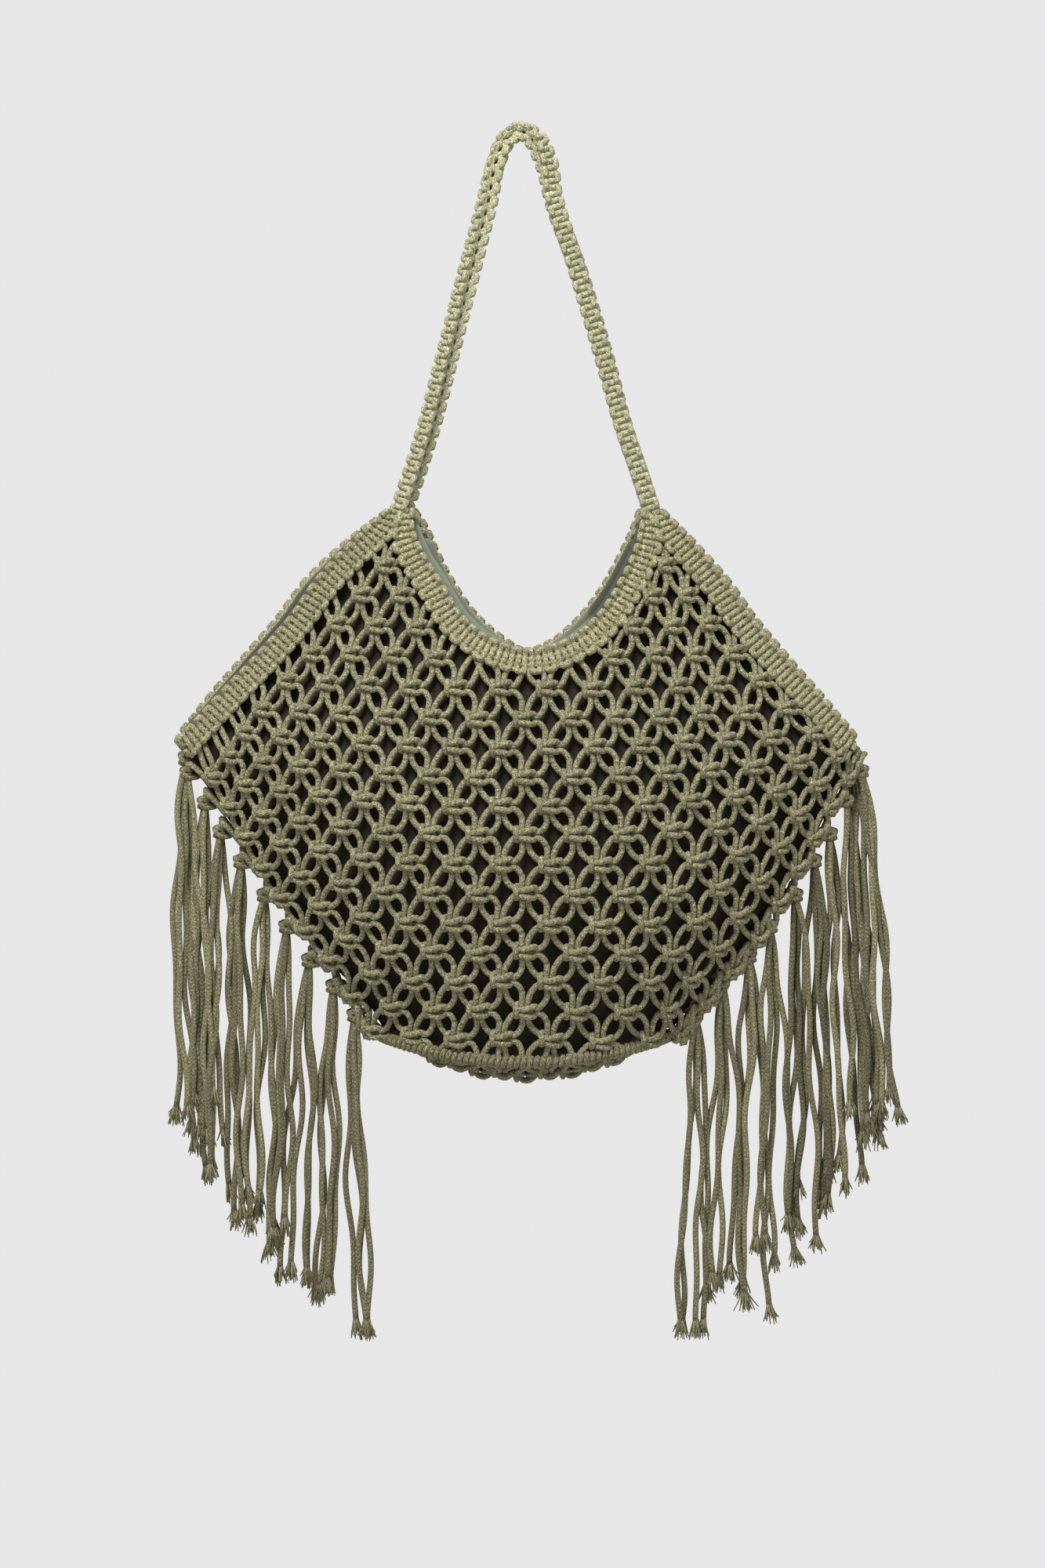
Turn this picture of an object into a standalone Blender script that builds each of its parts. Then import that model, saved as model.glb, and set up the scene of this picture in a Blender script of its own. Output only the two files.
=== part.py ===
"""Net shoulder bag of knotted cord, hanging from the middle of its handle.

Millimetres in this file, metres in the scene. X runs across the bag, -Y is the
front, +Z is up. The origin is the point inside the top bend of the handle where
the bag hangs. Every panel lies on one curved front or back surface, so a change
to the body table moves the borders, nets, lining, ring and fringe together.
"""

import math

import bmesh
import bpy
import numpy as np
from mathutils.geometry import delaunay_2d_cdt

# Clearance between two neighbouring pieces.
GAP = 0.3
# Clearance between the handle's foot and the borders below it.
FOOT_GAP = 0.9
# Clearance between the lining and what lies round it.
LINING_GAP = 0.9
# Clearance between the handle's two straps, which twist together.
STRAP_GAP = 1.4
# Clearance above the ring for the panels and the lining.
RING_GAP = 2.0
# Clearance between a border and the net that it edges.
NET_GAP = 0.8

# Body: left-right middle, half width, seam half depth and belly depth by height.
BODY_COLUMNS = ("z", "middle", "half_width", "seam", "belly")
BODY = (
    (-228.0, 3.5, 76.0, 2.7, 0.5),
    (-235.0, 3.0, 87.0, 2.7, 1.0),
    (-247.0, 2.0, 102.0, 4.5, 3.5),
    (-258.0, 1.0, 113.5, 5.0, 6.5),
    (-281.0, 0.0, 134.5, 5.6, 12.0),
    (-301.0, 0.0, 148.5, 6.0, 17.0),
    (-331.0, -0.5, 174.0, 6.0, 25.0),
    (-361.0, -1.0, 201.0, 6.0, 34.0),
    (-388.0, -1.0, 219.5, 6.0, 41.0),
    (-410.0, 1.0, 206.0, 6.0, 46.0),
    (-441.0, 4.0, 189.0, 6.0, 51.0),
    (-482.0, 6.0, 163.0, 6.0, 52.0),
    (-521.0, 6.0, 134.5, 6.0, 47.0),
    (-552.0, 6.0, 106.0, 6.0, 41.0),
    (-572.0, 4.0, 94.0, 6.0, 37.0),
    (-600.0, 3.0, 90.0, 6.0, 34.0),
)
SHOULDER_TOP = -235.0
CORNER = -388.0

# Neckline of the front panel and of the back panel, left to right.
NECK_COLUMNS = ("x", "z")
FRONT_NECK = (
    (-66.0, -235.0),
    (-66.5, -247.0),
    (-61.5, -261.0),
    (-48.0, -283.5),
    (-34.5, -305.0),
    (-15.0, -319.5),
    (6.0, -325.0),
    (27.0, -319.5),
    (47.0, -304.0),
    (62.5, -283.5),
    (76.0, -261.0),
    (76.0, -247.0),
    (74.0, -235.0),
)
BACK_NECK = (
    (-66.0, -235.0),
    (-57.0, -248.0),
    (-52.5, -258.5),
    (-41.0, -281.0),
    (-27.0, -300.5),
    (-11.0, -314.0),
    (6.0, -320.0),
    (22.0, -314.5),
    (39.5, -300.5),
    (52.5, -281.0),
    (65.0, -258.5),
    (69.0, -248.0),
    (74.0, -235.0),
)
# How far the back shoulders stand outside the front ones, half way down.
BACK_LEFT_OUT = 5.5
BACK_RIGHT_OUT = 1.5

BORDER_WIDTH = 19.0
BORDER_THICKNESS = 5.0
# Length over which a border leans to its end, and lengths of its narrow tops.
STRIP_BLEND = 24.0
SHOULDER_NARROW = 120.0
NECK_NARROW = 90.0
NET_THICKNESS = 4.0
NET_COLUMN_PITCH = 50.0
NET_ROW_PITCH = 29.0
NET_BAR = 9.0
NET_MARGIN = 6.0
LINING_THICKNESS = 1.0
LINING_PROUD = 3.5
LINING_TOP = -247.0
LINING_SEAM = 0.5
LINING_TINT = (0.17, 0.19, 0.15)

# Handle: path of its middle line, and how far its flat side turns outwards.
HANDLE_COLUMNS = ("x", "z")
HANDLE = (
    (-75.0, -235.0),
    (-66.3, -208.5),
    (-60.0, -188.5),
    (-46.8, -138.5),
    (-31.3, -78.5),
    (-21.0, -38.5),
    (-15.3, -14.0),
    (-8.5, 0.5),
    (0.0, 5.7),
    (8.5, 1.0),
    (15.5, -12.0),
    (21.3, -38.5),
    (35.0, -78.5),
    (53.3, -138.5),
    (67.5, -188.5),
    (74.5, -208.5),
    (82.5, -235.0),
)
TWIST_COLUMNS = ("share", "degrees")
TWIST = (
    (0.0, 28.0),
    (0.25, 52.0),
    (0.40, 75.0),
    (0.50, 90.0),
    (0.56, 62.0),
    (0.63, 22.0),
    (0.72, 0.0),
    (1.0, 0.0),
)
STRAP_WIDTH = 12.0
STRAP_THICKNESS = 5.0
STRAP_EDGE = 1.2

# Ring round the base: plan size, roll of the ring and rise of its two ends.
RING_MIDDLE = 3.0
RING_HALF_LENGTH = 91.0
RING_HALF_DEPTH = 41.0
RING_RADIUS = 4.3
RING_HEIGHT = -585.5
RING_RISE = 14.0
RING_SQUARENESS = 1.35
BASE_THICKNESS = 4.0
BASE_SAG = 9.0
BASE_COLUMN_PITCH = 44.0
BASE_ROW_PITCH = 20.0

# Fringe: knotted head down each side seam, and locks that hang from it.
HEAD_RADIUS = 4.6
HEAD_KNOT = 1.2
HEAD_DEPTH = 1.5
HEAD_SINK = 0.5
LOCK_DEPTH = 9.0
LOCK_TIP = 0.55
LOCK_WAVE = 1.6
LOCK_STAND = 4.0
LOCK_NECK = 6.0
LOCK_SHOULDER = 20.0
LOCK_COLUMNS = ("share", "width", "length", "drift", "front")
LEFT_LOCKS = (
    (0.03, 12.0, 208.0, 0.0, 0.2),
    (0.17, 9.0, 212.0, 3.0, -0.5),
    (0.29, 10.0, 214.0, 3.0, 0.4),
    (0.41, 10.0, 214.0, 0.0, -0.4),
    (0.53, 10.5, 208.0, -2.0, 0.5),
    (0.65, 10.5, 204.0, -4.0, -0.3),
    (0.78, 10.5, 206.0, -6.0, 0.4),
    (0.89, 9.5, 200.0, -3.0, -0.5),
    (0.99, 9.0, 214.0, 9.0, 0.2),
)
RIGHT_LOCKS = (
    (0.03, 14.0, 226.0, -17.0, 0.3),
    (0.17, 10.0, 214.0, -13.0, -0.5),
    (0.29, 10.0, 214.0, -7.0, 0.4),
    (0.41, 10.0, 220.0, -2.0, -0.4),
    (0.53, 10.5, 212.0, 0.0, 0.5),
    (0.65, 10.5, 206.0, 3.0, -0.3),
    (0.78, 10.5, 206.0, 5.0, 0.4),
    (0.89, 9.5, 196.0, 3.0, -0.5),
    (0.99, 9.0, 214.0, 3.0, 0.2),
)


def columns(rows, names):
    """The named columns of a table, each as an array."""
    return dict(zip(names, np.array(rows, float).T))


def smooth(at, knots, values):
    """Value at each place of a curve that passes through the table's rows, its
    slope at a row being the mean slope of the two neighbouring rows."""
    order = np.argsort(knots)
    k, v = knots[order], values[order]
    slope = np.gradient(v, k)
    at = np.clip(np.asarray(at, float), k[0], k[-1])
    i = np.clip(np.searchsorted(k, at, side="right") - 1, 0, len(k) - 2)
    span = k[i + 1] - k[i]
    t = (at - k[i]) / span
    a = v[i] * (1 + 2 * t) * (1 - t) ** 2 + slope[i] * span * t * (1 - t) ** 2
    b = v[i + 1] * t * t * (3 - 2 * t) + slope[i + 1] * span * t * t * (t - 1)
    return a + b


def path(points, step):
    """Evenly spaced points of a smooth line through the given ones."""
    points = np.array(points, float)
    length = np.concatenate([[0], np.cumsum(np.linalg.norm(np.diff(points, axis=0), axis=1))])
    fine = np.linspace(0, length[-1], 40 * len(points))
    line = np.stack([smooth(fine, length, c) for c in points.T], axis=1)
    run = np.concatenate([[0], np.cumsum(np.linalg.norm(np.diff(line, axis=0), axis=1))])
    even = np.linspace(0, run[-1], max(3, int(round(run[-1] / step)) + 1))
    return np.stack([np.interp(even, run, c) for c in line.T], axis=1)


body = columns(BODY, BODY_COLUMNS)


def width_at(z):
    return smooth(z, body["z"], body["half_width"])


def middle_at(z):
    return smooth(z, body["z"], body["middle"])


def swell_at(x, z, side):
    """How far the back panel's shoulder stands outside the front panel's."""
    out = np.where(x < middle_at(z), BACK_LEFT_OUT, BACK_RIGHT_OUT) * (side > 0)
    share = np.clip((z - SHOULDER_TOP) / (CORNER - SHOULDER_TOP), 0, 1)
    return out * np.sin(math.pi * share)


def depth(x, z, side):
    """Distance of the panel's middle surface from the seam plane: the seam half
    depth plus a belly that falls off with the square of the share of the width."""
    u = (x - middle_at(z)) / (width_at(z) + swell_at(x, z, side))
    belly = smooth(z, body["z"], body["belly"]) * (1 - u * u)
    return smooth(z, body["z"], body["seam"]) + belly


def inner_depth(x, z, side, inset):
    """The same surface moved inwards by the inset, measured square to it."""
    across = depth(x + 0.5, z, side) - depth(x - 0.5, z, side)
    down = depth(x, z + 0.5, side) - depth(x, z - 0.5, side)
    return depth(x, z, side) - inset * np.sqrt(1 + across**2 + down**2)


def ring_height(x):
    """Height of the ring's middle line: its two ends stand above its middle."""
    return RING_HEIGHT + RING_RISE * np.clip(((x - RING_MIDDLE) / RING_HALF_LENGTH) ** 2, 0, 1)


def make(name, points, triangles, colour, roughness):
    """One closed mesh object with its own material."""
    points = np.asarray(points, float)
    triangles = np.asarray(triangles, int)
    a, b, c = (points[triangles[:, i]] for i in range(3))
    if np.einsum("ij,ij->i", a, np.cross(b, c)).sum() < 0:
        triangles = triangles[:, ::-1]
    mesh = bpy.data.meshes.new(name)
    mesh.from_pydata((points * 0.001).tolist(), [], triangles.tolist())
    mesh.update()
    obj = bpy.data.objects.new(name, mesh)
    bpy.context.scene.collection.objects.link(obj)
    material = bpy.data.materials.new(name)
    material.use_nodes = True
    shader = material.node_tree.nodes["Principled BSDF"]
    shader.inputs["Base Color"].default_value = (*colour, 1.0)
    shader.inputs["Roughness"].default_value = roughness
    mesh.materials.append(material)
    return obj


def border_edges(triangles):
    """Directed edges that belong to one triangle only."""
    edges = np.concatenate([triangles[:, [0, 1]], triangles[:, [1, 2]], triangles[:, [2, 0]]])
    key = np.sort(edges, axis=1)
    _, first, count = np.unique(key, axis=0, return_index=True, return_counts=True)
    return edges[first[count == 1]]


def vertex_normals(points, triangles):
    """Unit normals at the points, weighted by the triangles' areas."""
    a, b, c = (points[triangles[:, i]] for i in range(3))
    face = np.cross(b - a, c - a)
    normals = np.zeros_like(points)
    for i in range(3):
        np.add.at(normals, triangles[:, i], face)
    return normals / np.linalg.norm(normals, axis=1, keepdims=True)


def thicken(points, triangles, thickness):
    """Closed wall of an open sheet: the sheet moved half the thickness to either
    side, with a strip along each free edge."""
    points = np.asarray(points, float)
    triangles = np.asarray(triangles, int)
    normals = vertex_normals(points, triangles)
    n = len(points)
    both = np.concatenate([points + normals * thickness / 2, points - normals * thickness / 2])
    edge = border_edges(triangles)
    a, b = edge[:, 0], edge[:, 1]
    walls = np.concatenate([np.stack([a, a + n, b], 1), np.stack([b, a + n, b + n], 1)])
    return both, np.concatenate([triangles, triangles[:, ::-1] + n, walls])


def weld(points, triangles):
    """Points at the same place become one, and points in no triangle go."""
    points = np.asarray(points, float)
    _, first, index = np.unique(
        np.round(points, 3), axis=0, return_index=True, return_inverse=True
    )
    triangles = index.reshape(-1)[np.asarray(triangles, int)]
    flat = (
        (triangles[:, 0] == triangles[:, 1])
        | (triangles[:, 1] == triangles[:, 2])
        | (triangles[:, 2] == triangles[:, 0])
    )
    triangles = triangles[~flat]
    used, index = np.unique(triangles, return_inverse=True)
    return points[first][used], index.reshape(triangles.shape)


def inside(loop, at):
    """Whether each place lies inside the closed loop, by crossings of a ray."""
    x, y = at[:, 0][:, None], at[:, 1][:, None]
    a, b = loop, np.roll(loop, -1, axis=0)
    straddle = (a[:, 1][None] > y) != (b[:, 1][None] > y)
    rise = np.where(b[:, 1] == a[:, 1], 1e-9, b[:, 1] - a[:, 1])
    cross = a[:, 0] + (y - a[:, 1]) * (b[:, 0] - a[:, 0]) / rise
    return (straddle & (x < cross)).sum(axis=1) % 2 == 1


def clearance(at, loop):
    """Distance of each place from the loop's nearest side."""
    a, b = loop, np.roll(loop, -1, axis=0)
    d = b - a
    t = ((at[:, None] - a[None]) * d[None]).sum(2) / (d * d).sum(1)[None]
    near = a[None] + np.clip(t, 0, 1)[..., None] * d[None]
    return np.linalg.norm(at[:, None] - near, axis=2).min(axis=1)


def flat_sheet(loop, holes, inner=()):
    """Triangles that fill the loop, less the holes, in the plane."""
    points, edges = [], []
    for ring in [loop, *holes]:
        start = len(points)
        points += [tuple(p) for p in ring]
        edges += [(start + i, start + (i + 1) % len(ring)) for i in range(len(ring))]
    points += [tuple(p) for p in inner]
    found = delaunay_2d_cdt(points, edges, [], 0, 1e-6)
    flat = np.array([tuple(p) for p in found[0]])
    triangles = np.array(found[2])
    middle = flat[triangles].mean(axis=1)
    keep = inside(np.array(loop), middle)
    for hole in holes:
        keep &= ~inside(np.array(hole), middle)
    return flat, triangles[keep]


DIAMOND = np.array([(1.0, 0.0), (0.0, 1.0), (-1.0, 0.0), (0.0, -1.0)])


def diamonds(loop, across, down):
    """Openings of a staggered net that keep clear of the loop; one that comes too
    near is drawn smaller, and left out below half size."""
    low, high = loop.min(axis=0), loop.max(axis=0)
    holes = []
    slant = math.hypot(across / 2, down)
    half = np.array([across / 2 - NET_BAR * slant / down / 2, down - NET_BAR * slant / across])
    middle = (low[0] + high[0]) / 2
    rows = int((high[1] - low[1]) / down) + 1
    places = int((high[0] - low[0]) / across) + 2
    for row in range(rows):
        z = low[1] + down * (row + 0.55)
        for place in range(-places, places + 1):
            x = middle + across * (place + 0.5 * (row % 2))
            for share in (1.0, 0.85, 0.7, 0.55):
                ring = np.array([x, z]) + half * share * DIAMOND
                if inside(loop, ring).all() and clearance(ring, loop).min() > NET_MARGIN:
                    holes.append(ring)
                    break
    return holes


def on_side(flat, side, deep):
    """Points of the plane placed on the front (-1) or back (1) surface."""
    return np.stack([flat[:, 0], side * deep(flat[:, 0], flat[:, 1], side), flat[:, 1]], axis=1)


def unit(v):
    return v / np.linalg.norm(v, axis=-1, keepdims=True)


def shoulder_line(sign, side, step):
    """Outer edge of a shoulder, from the handle down to the corner."""
    z = np.linspace(SHOULDER_TOP - FOOT_GAP, CORNER, 60)
    x = middle_at(z) + sign * width_at(z)
    x = x + sign * swell_at(x, z, side)
    return path(np.stack([x, z], axis=1)[::3], step)


def neck_line(side, step):
    line = path(FRONT_NECK if side < 0 else BACK_NECK, step)
    line[:, 1] -= FOOT_GAP
    return line


def run_along(line):
    """Length along an evenly spaced line at each of its points."""
    return np.linspace(0, 1, len(line)) * np.linalg.norm(np.diff(line, axis=0), axis=1).sum()


def strip_lean(edge, sign, begin, end):
    """Direction from a border strip's outer edge to its inner one: square to the
    edge, leaning to the given directions near its two ends."""
    run = unit(np.gradient(edge, axis=0))
    square = sign * np.stack([run[:, 1], -run[:, 0]], axis=1)
    far = run_along(edge)
    near_start = np.clip(1 - far / STRIP_BLEND, 0, 1)[:, None]
    near_end = np.clip(1 - (far[-1] - far) / STRIP_BLEND, 0, 1)[:, None]
    return unit(square * (1 - near_start) * (1 - near_end) + begin * near_start + end * near_end)


def strip_width(room, far, ends):
    share = 0.5 + 0.1 * np.clip(far / 25.0, 0, 1)
    wide = np.where(ends, share * room - GAP / 2, BORDER_WIDTH)
    return np.minimum(BORDER_WIDTH, wide)


def strip_solid(name, outer, inner, side, colour):
    """Border strip: three columns between its two edges, thickened."""
    shares = np.linspace(0, 1, 3)
    grid = outer[:, None] * (1 - shares)[None, :, None] + inner[:, None] * shares[None, :, None]
    n, m = grid.shape[:2]
    at = np.arange(n * m).reshape(n, m)
    a, b, c, d = at[:-1, :-1], at[1:, :-1], at[1:, 1:], at[:-1, 1:]
    halves = [np.stack(corner, -1).reshape(-1, 3) for corner in ((a, b, c), (a, c, d))]
    triangles = np.concatenate(halves)
    points = on_side(grid.reshape(-1, 2), side, depth)
    return make(name, *thicken(points, triangles, BORDER_THICKNESS), colour, 0.9)


def seam_line(sign, inset, step):
    """Side seam from the corner down to the ring's end, in the plane."""
    low = RING_HEIGHT + RING_RISE + RING_RADIUS + RING_GAP
    z = np.linspace(CORNER, low, max(3, int((CORNER - low) / step)))
    return np.stack([middle_at(z) + sign * (width_at(z) - inset), z], axis=1)


def foot_line(half_length, lift, count):
    """Lower edge of a panel: just above the ring, from left to right."""
    share = np.sin(np.linspace(-math.pi / 2, math.pi / 2, count))
    x = RING_MIDDLE + half_length * share
    return np.stack([x, ring_height(x) + lift], axis=1)


def closed_line(loop, near=0.6):
    """The loop less points that nearly touch the one before."""
    keep = np.linalg.norm(loop - np.roll(loop, 1, axis=0), axis=1) > near
    return loop[keep]


def dome_points(loop, spacing):
    """Places inside the loop, on a staggered grid, for the surface to bend at."""
    low, high = loop.min(axis=0), loop.max(axis=0)
    xs = np.arange(low[0], high[0], spacing)
    zs = np.arange(low[1], high[1], spacing)
    gx, gz = np.meshgrid(xs, zs)
    gx = gx + (np.arange(len(zs)) % 2)[:, None] * spacing / 2
    at = np.stack([gx.ravel(), gz.ravel()], axis=1)
    keep = inside(loop, at)
    return at[keep][clearance(at[keep], loop) > spacing * 0.4]


def panel(side, word, tint):
    """One face of the bag: two shoulder borders, the neck border and the net."""
    neck = neck_line(side, 9.0)
    left = shoulder_line(-1, side, 11.0)
    right = shoulder_line(1, side, 11.0)
    half = len(neck) // 2
    made = {}
    for sign, line, where in ((-1, left, "left"), (1, right, "right")):
        seam = seam_line(sign, 0.0, 12.0)
        along = unit(seam[1] - seam[0])
        facing = neck[:half] if sign < 0 else neck[half:]
        lean = strip_lean(line, sign, np.array([-sign, 0.0]), along)
        room = clearance(line, facing)
        far = run_along(line)
        wide = strip_width(room, far, far < SHOULDER_NARROW)
        wide[0] = (abs(line[0, 0] - facing[0 if sign < 0 else -1, 0]) - GAP) / 2
        inner = line + lean * wide[:, None]
        strip_solid(f"{word}_{where}_shoulder_border", line, inner, side, tint)
        made[where] = (line + lean * (wide + NET_GAP)[:, None], wide)
    lean = strip_lean(neck, 1, np.array([-1.0, 0.0]), np.array([1.0, 0.0]))
    room = np.minimum(clearance(neck, left), clearance(neck, right))
    far = run_along(neck)
    ends = np.minimum(far, far[-1] - far)
    wide = strip_width(room, ends, ends < NECK_NARROW)
    wide[0] = (abs(neck[0, 0] - left[0, 0]) - GAP) / 2
    wide[-1] = (abs(neck[-1, 0] - right[0, 0]) - GAP) / 2
    strip_solid(f"{word}_neck_border", neck, neck + lean * wide[:, None], side, tint)
    low_neck = (neck + lean * (wide + NET_GAP)[:, None])[wide > BORDER_WIDTH - 0.1]
    sides = {w: p[q > BORDER_WIDTH - 0.1] for w, (p, q) in made.items()}
    seams = {s: seam_line(s, GAP / 2, 12.0) for s in (-1, 1)}
    below = {
        s: seams[s][seams[s][:, 1] < sides["left" if s < 0 else "right"][-1, 1] - 2.0]
        for s in (-1, 1)
    }
    foot = foot_line(RING_HALF_LENGTH - 1.0, RING_RADIUS + RING_GAP, 19)
    foot = foot[(foot[:, 0] > below[-1][-1, 0] + 1) & (foot[:, 0] < below[1][-1, 0] - 1)]
    loop = np.concatenate(
        [low_neck[::-1], sides["left"], below[-1], foot, below[1][::-1], sides["right"][::-1]]
    )
    loop = closed_line(loop)
    holes = diamonds(loop, NET_COLUMN_PITCH, NET_ROW_PITCH)
    flat, triangles = flat_sheet(loop, holes)
    points = on_side(flat, side, depth)
    make(f"{word}_net", *thicken(points, triangles, NET_THICKNESS), tint, 0.9)
    return len(holes)


def build_lining():
    """Open pouch inside the net, sewn from a front and a back panel that meet
    down the side seams and along the middle of the sagging bottom."""
    inset = BORDER_THICKNESS / 2 + LINING_GAP + LINING_THICKNESS / 2
    lift = RING_RADIUS + RING_GAP + LINING_THICKNESS / 2
    seams = {s: seam_line(s, 1.2, 14.0)[1:] for s in (-1, 1)}
    foot = foot_line(RING_HALF_LENGTH - 6.0, lift, 17)
    for s in (-1, 1):
        seams[s] = seams[s][seams[s][:, 1] > foot[0, 1] + 1.5]
    shares = np.array([1.0, 0.5, 0.0])
    along = ((foot[:, 0] - RING_MIDDLE) / (RING_HALF_LENGTH - 6.0)) ** 2
    low = BASE_SAG + lift - (BASE_THICKNESS + LINING_THICKNESS) / 2 - 2 * LINING_GAP

    def layer_depth(x, z, side):
        return np.maximum(inner_depth(x, z, side, inset), (LINING_SEAM + LINING_THICKNESS) / 2)

    for side, name in ((-1, "front_lining"), (1, "back_lining")):
        neck = neck_line(side, 9.0)
        run = unit(np.gradient(neck, axis=0))
        neck = neck + np.stack([-run[:, 1], run[:, 0]], axis=1) * LINING_PROUD
        neck = neck[neck[:, 1] < LINING_TOP]
        rim = {}
        for s in (-1, 1):
            line = shoulder_line(s, side, 11.0)
            run = unit(np.gradient(line, axis=0))
            line = line + np.stack([-run[:, 1], run[:, 0]], axis=1) * LINING_PROUD * s
            rim[s] = line[(line[:, 1] < LINING_TOP) & (line[:, 1] > CORNER + 1.0)]
        loop = np.concatenate([neck[::-1], rim[-1], seams[-1], foot, seams[1][::-1], rim[1][::-1]])
        loop = closed_line(loop, 0.3)
        flat, triangles = flat_sheet(loop, [], dome_points(loop, 25.0))
        parts = [(on_side(flat, side, layer_depth), triangles)]
        for s in (-1, 1):
            line = np.concatenate([seams[s], foot[0 if s < 0 else -1][None]])
            deep = layer_depth(line[:, 0], line[:, 1], -1)
            y = np.maximum(deep[:, None] * shares[None], LINING_SEAM / 2)
            flat = np.ones_like(y)
            parts.append(grid_part(np.stack([line[:, :1] * flat, side * y, line[:, 1:] * flat], axis=-1)))
        deep = layer_depth(foot[:, 0], foot[:, 1], -1)
        y = np.maximum(deep[:, None] * shares[None], LINING_SEAM / 2)
        sink = low * (1 - shares**2)[None] * (1 - along)[:, None]
        parts.append(
            grid_part(np.stack([foot[:, :1] * np.ones_like(sink), side * y, foot[:, 1:] - sink], axis=-1))
        )
        points, triangles, start = [], [], 0
        for p, t in parts:
            points.append(p)
            triangles.append(t + start)
            start += len(p)
        points, triangles = weld(np.concatenate(points), np.concatenate(triangles))
        triangles = same_way(points, triangles)
        make(name, *thicken(points, triangles, LINING_THICKNESS), LINING_TINT, 0.95)


def grid_part(grid):
    """Points and triangles of a sheet given as rows of points."""
    n, m = grid.shape[:2]
    at = np.arange(n * m).reshape(n, m)
    a, b, c, d = at[:-1, :-1], at[1:, :-1], at[1:, 1:], at[:-1, 1:]
    halves = [np.stack(corner, -1).reshape(-1, 3) for corner in ((a, b, c), (a, c, d))]
    return grid.reshape(-1, 3), np.concatenate(halves)


def same_way(points, triangles):
    """The triangles turned so that neighbours face the same way."""
    sheet = bmesh.new()
    corners = [sheet.verts.new(p) for p in points]
    for t in triangles:
        sheet.faces.new([corners[i] for i in t])
    bmesh.ops.recalc_face_normals(sheet, faces=sheet.faces)
    sheet.verts.index_update()
    turned = np.array([[v.index for v in f.verts] for f in sheet.faces])
    sheet.free()
    return turned


def rail(points, rows, closed):
    """Closed mesh of a bar from its cross-sections, n sections of m points."""
    n, m = rows
    at = np.arange(n * m).reshape(n, m)
    nxt = np.roll(at, -1, axis=0) if closed else at[1:]
    cur = at if closed else at[:-1]
    a, b = cur, np.roll(cur, -1, axis=1)
    d, c = nxt, np.roll(nxt, -1, axis=1)
    triangles = [np.stack([a, b, c], -1).reshape(-1, 3), np.stack([a, c, d], -1).reshape(-1, 3)]
    if not closed:
        fan = np.arange(1, m - 1)
        triangles.append(np.stack([np.zeros_like(fan), fan + 1, fan], -1))
        triangles.append((n - 1) * m + np.stack([np.zeros_like(fan), fan, fan + 1], -1))
    return points.reshape(-1, 3), np.concatenate(triangles)


def build_handle():
    """Two flat knotted straps back to back, turning along the way."""
    line = path(HANDLE, 11.0)
    n = len(line)
    run = unit(np.gradient(line, axis=0))
    forward = np.stack([run[:, 0], np.zeros(n), run[:, 1]], axis=1)
    outward = np.stack([-run[:, 1], np.zeros(n), run[:, 0]], axis=1)
    twist = columns(TWIST, TWIST_COLUMNS)
    angle = np.radians(smooth(np.linspace(0, 1, n), twist["share"], twist["degrees"]))[:, None]
    face = np.cos(angle) * np.array([0.0, -1.0, 0.0]) + np.sin(angle) * outward
    across = np.cross(forward, face)
    middle = np.stack([line[:, 0], np.zeros(n), line[:, 1]], axis=1)
    w, t, e = STRAP_WIDTH / 2, STRAP_THICKNESS / 2, STRAP_EDGE
    corners = [(-w, -t + e), (-w + e, -t), (w - e, -t), (w, -t + e)]
    profile = np.array(corners + [(-x, -y) for x, y in corners])
    for name, way in (("handle_front_strap", 1.0), ("handle_back_strap", -1.0)):
        seat = middle + face * way * (STRAP_THICKNESS + STRAP_GAP) / 2
        points = seat[:, None] + across[:, None] * profile[None, :, :1] + face[:, None] * profile[None, :, 1:]
        for row in (0, -1):
            fall = (SHOULDER_TOP - points[row][:, 2]) / forward[row][2]
            points[row] += fall[:, None] * forward[row][None]
        make(name, *rail(points, points.shape[:2], False), (0.33, 0.31, 0.2), 0.9)


def ring_path(count, half_length, half_depth):
    angle = np.linspace(0, 2 * math.pi, count, endpoint=False)
    x = RING_MIDDLE + half_length * np.cos(angle)
    y = half_depth * np.sign(np.sin(angle)) * np.abs(np.sin(angle)) ** RING_SQUARENESS
    return x, y


def build_ring():
    x, y = ring_path(40, RING_HALF_LENGTH, RING_HALF_DEPTH)
    middle = np.stack([x, y, ring_height(x)], axis=1)
    run = unit(np.roll(middle, -1, axis=0) - np.roll(middle, 1, axis=0))
    out = unit(np.cross(run, np.array([0.0, 0.0, 1.0])))
    up = np.cross(out, run)
    turn = np.arange(8) * math.pi / 4
    around = out[:, None] * np.cos(turn)[None, :, None] + up[:, None] * np.sin(turn)[None, :, None]
    points = middle[:, None] + RING_RADIUS * around
    make("base_ring", *rail(points, points.shape[:2], True), (0.16, 0.14, 0.08), 0.9)


def build_base():
    """Sagging net that closes the ring from below."""
    inset = RING_RADIUS + GAP
    x, y = ring_path(40, RING_HALF_LENGTH - inset - 4.0, RING_HALF_DEPTH - inset)
    loop = np.stack([x, y], axis=1)
    holes = diamonds(loop, BASE_COLUMN_PITCH, BASE_ROW_PITCH)
    flat, triangles = flat_sheet(loop, holes, dome_points(loop, 16.0) if not holes else ())
    u = (flat[:, 0] - RING_MIDDLE) / (RING_HALF_LENGTH - inset - 4.0)
    v = flat[:, 1] / (RING_HALF_DEPTH - inset)
    near = np.clip(1 - u * u - v * v, 0, 1)
    z = ring_height(flat[:, 0]) - BASE_SAG * near
    points = np.stack([flat[:, 0], flat[:, 1], z], axis=1)
    make("base_net", *thicken(points, triangles, BASE_THICKNESS), (0.14, 0.12, 0.07), 0.9)
    return len(holes)


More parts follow.
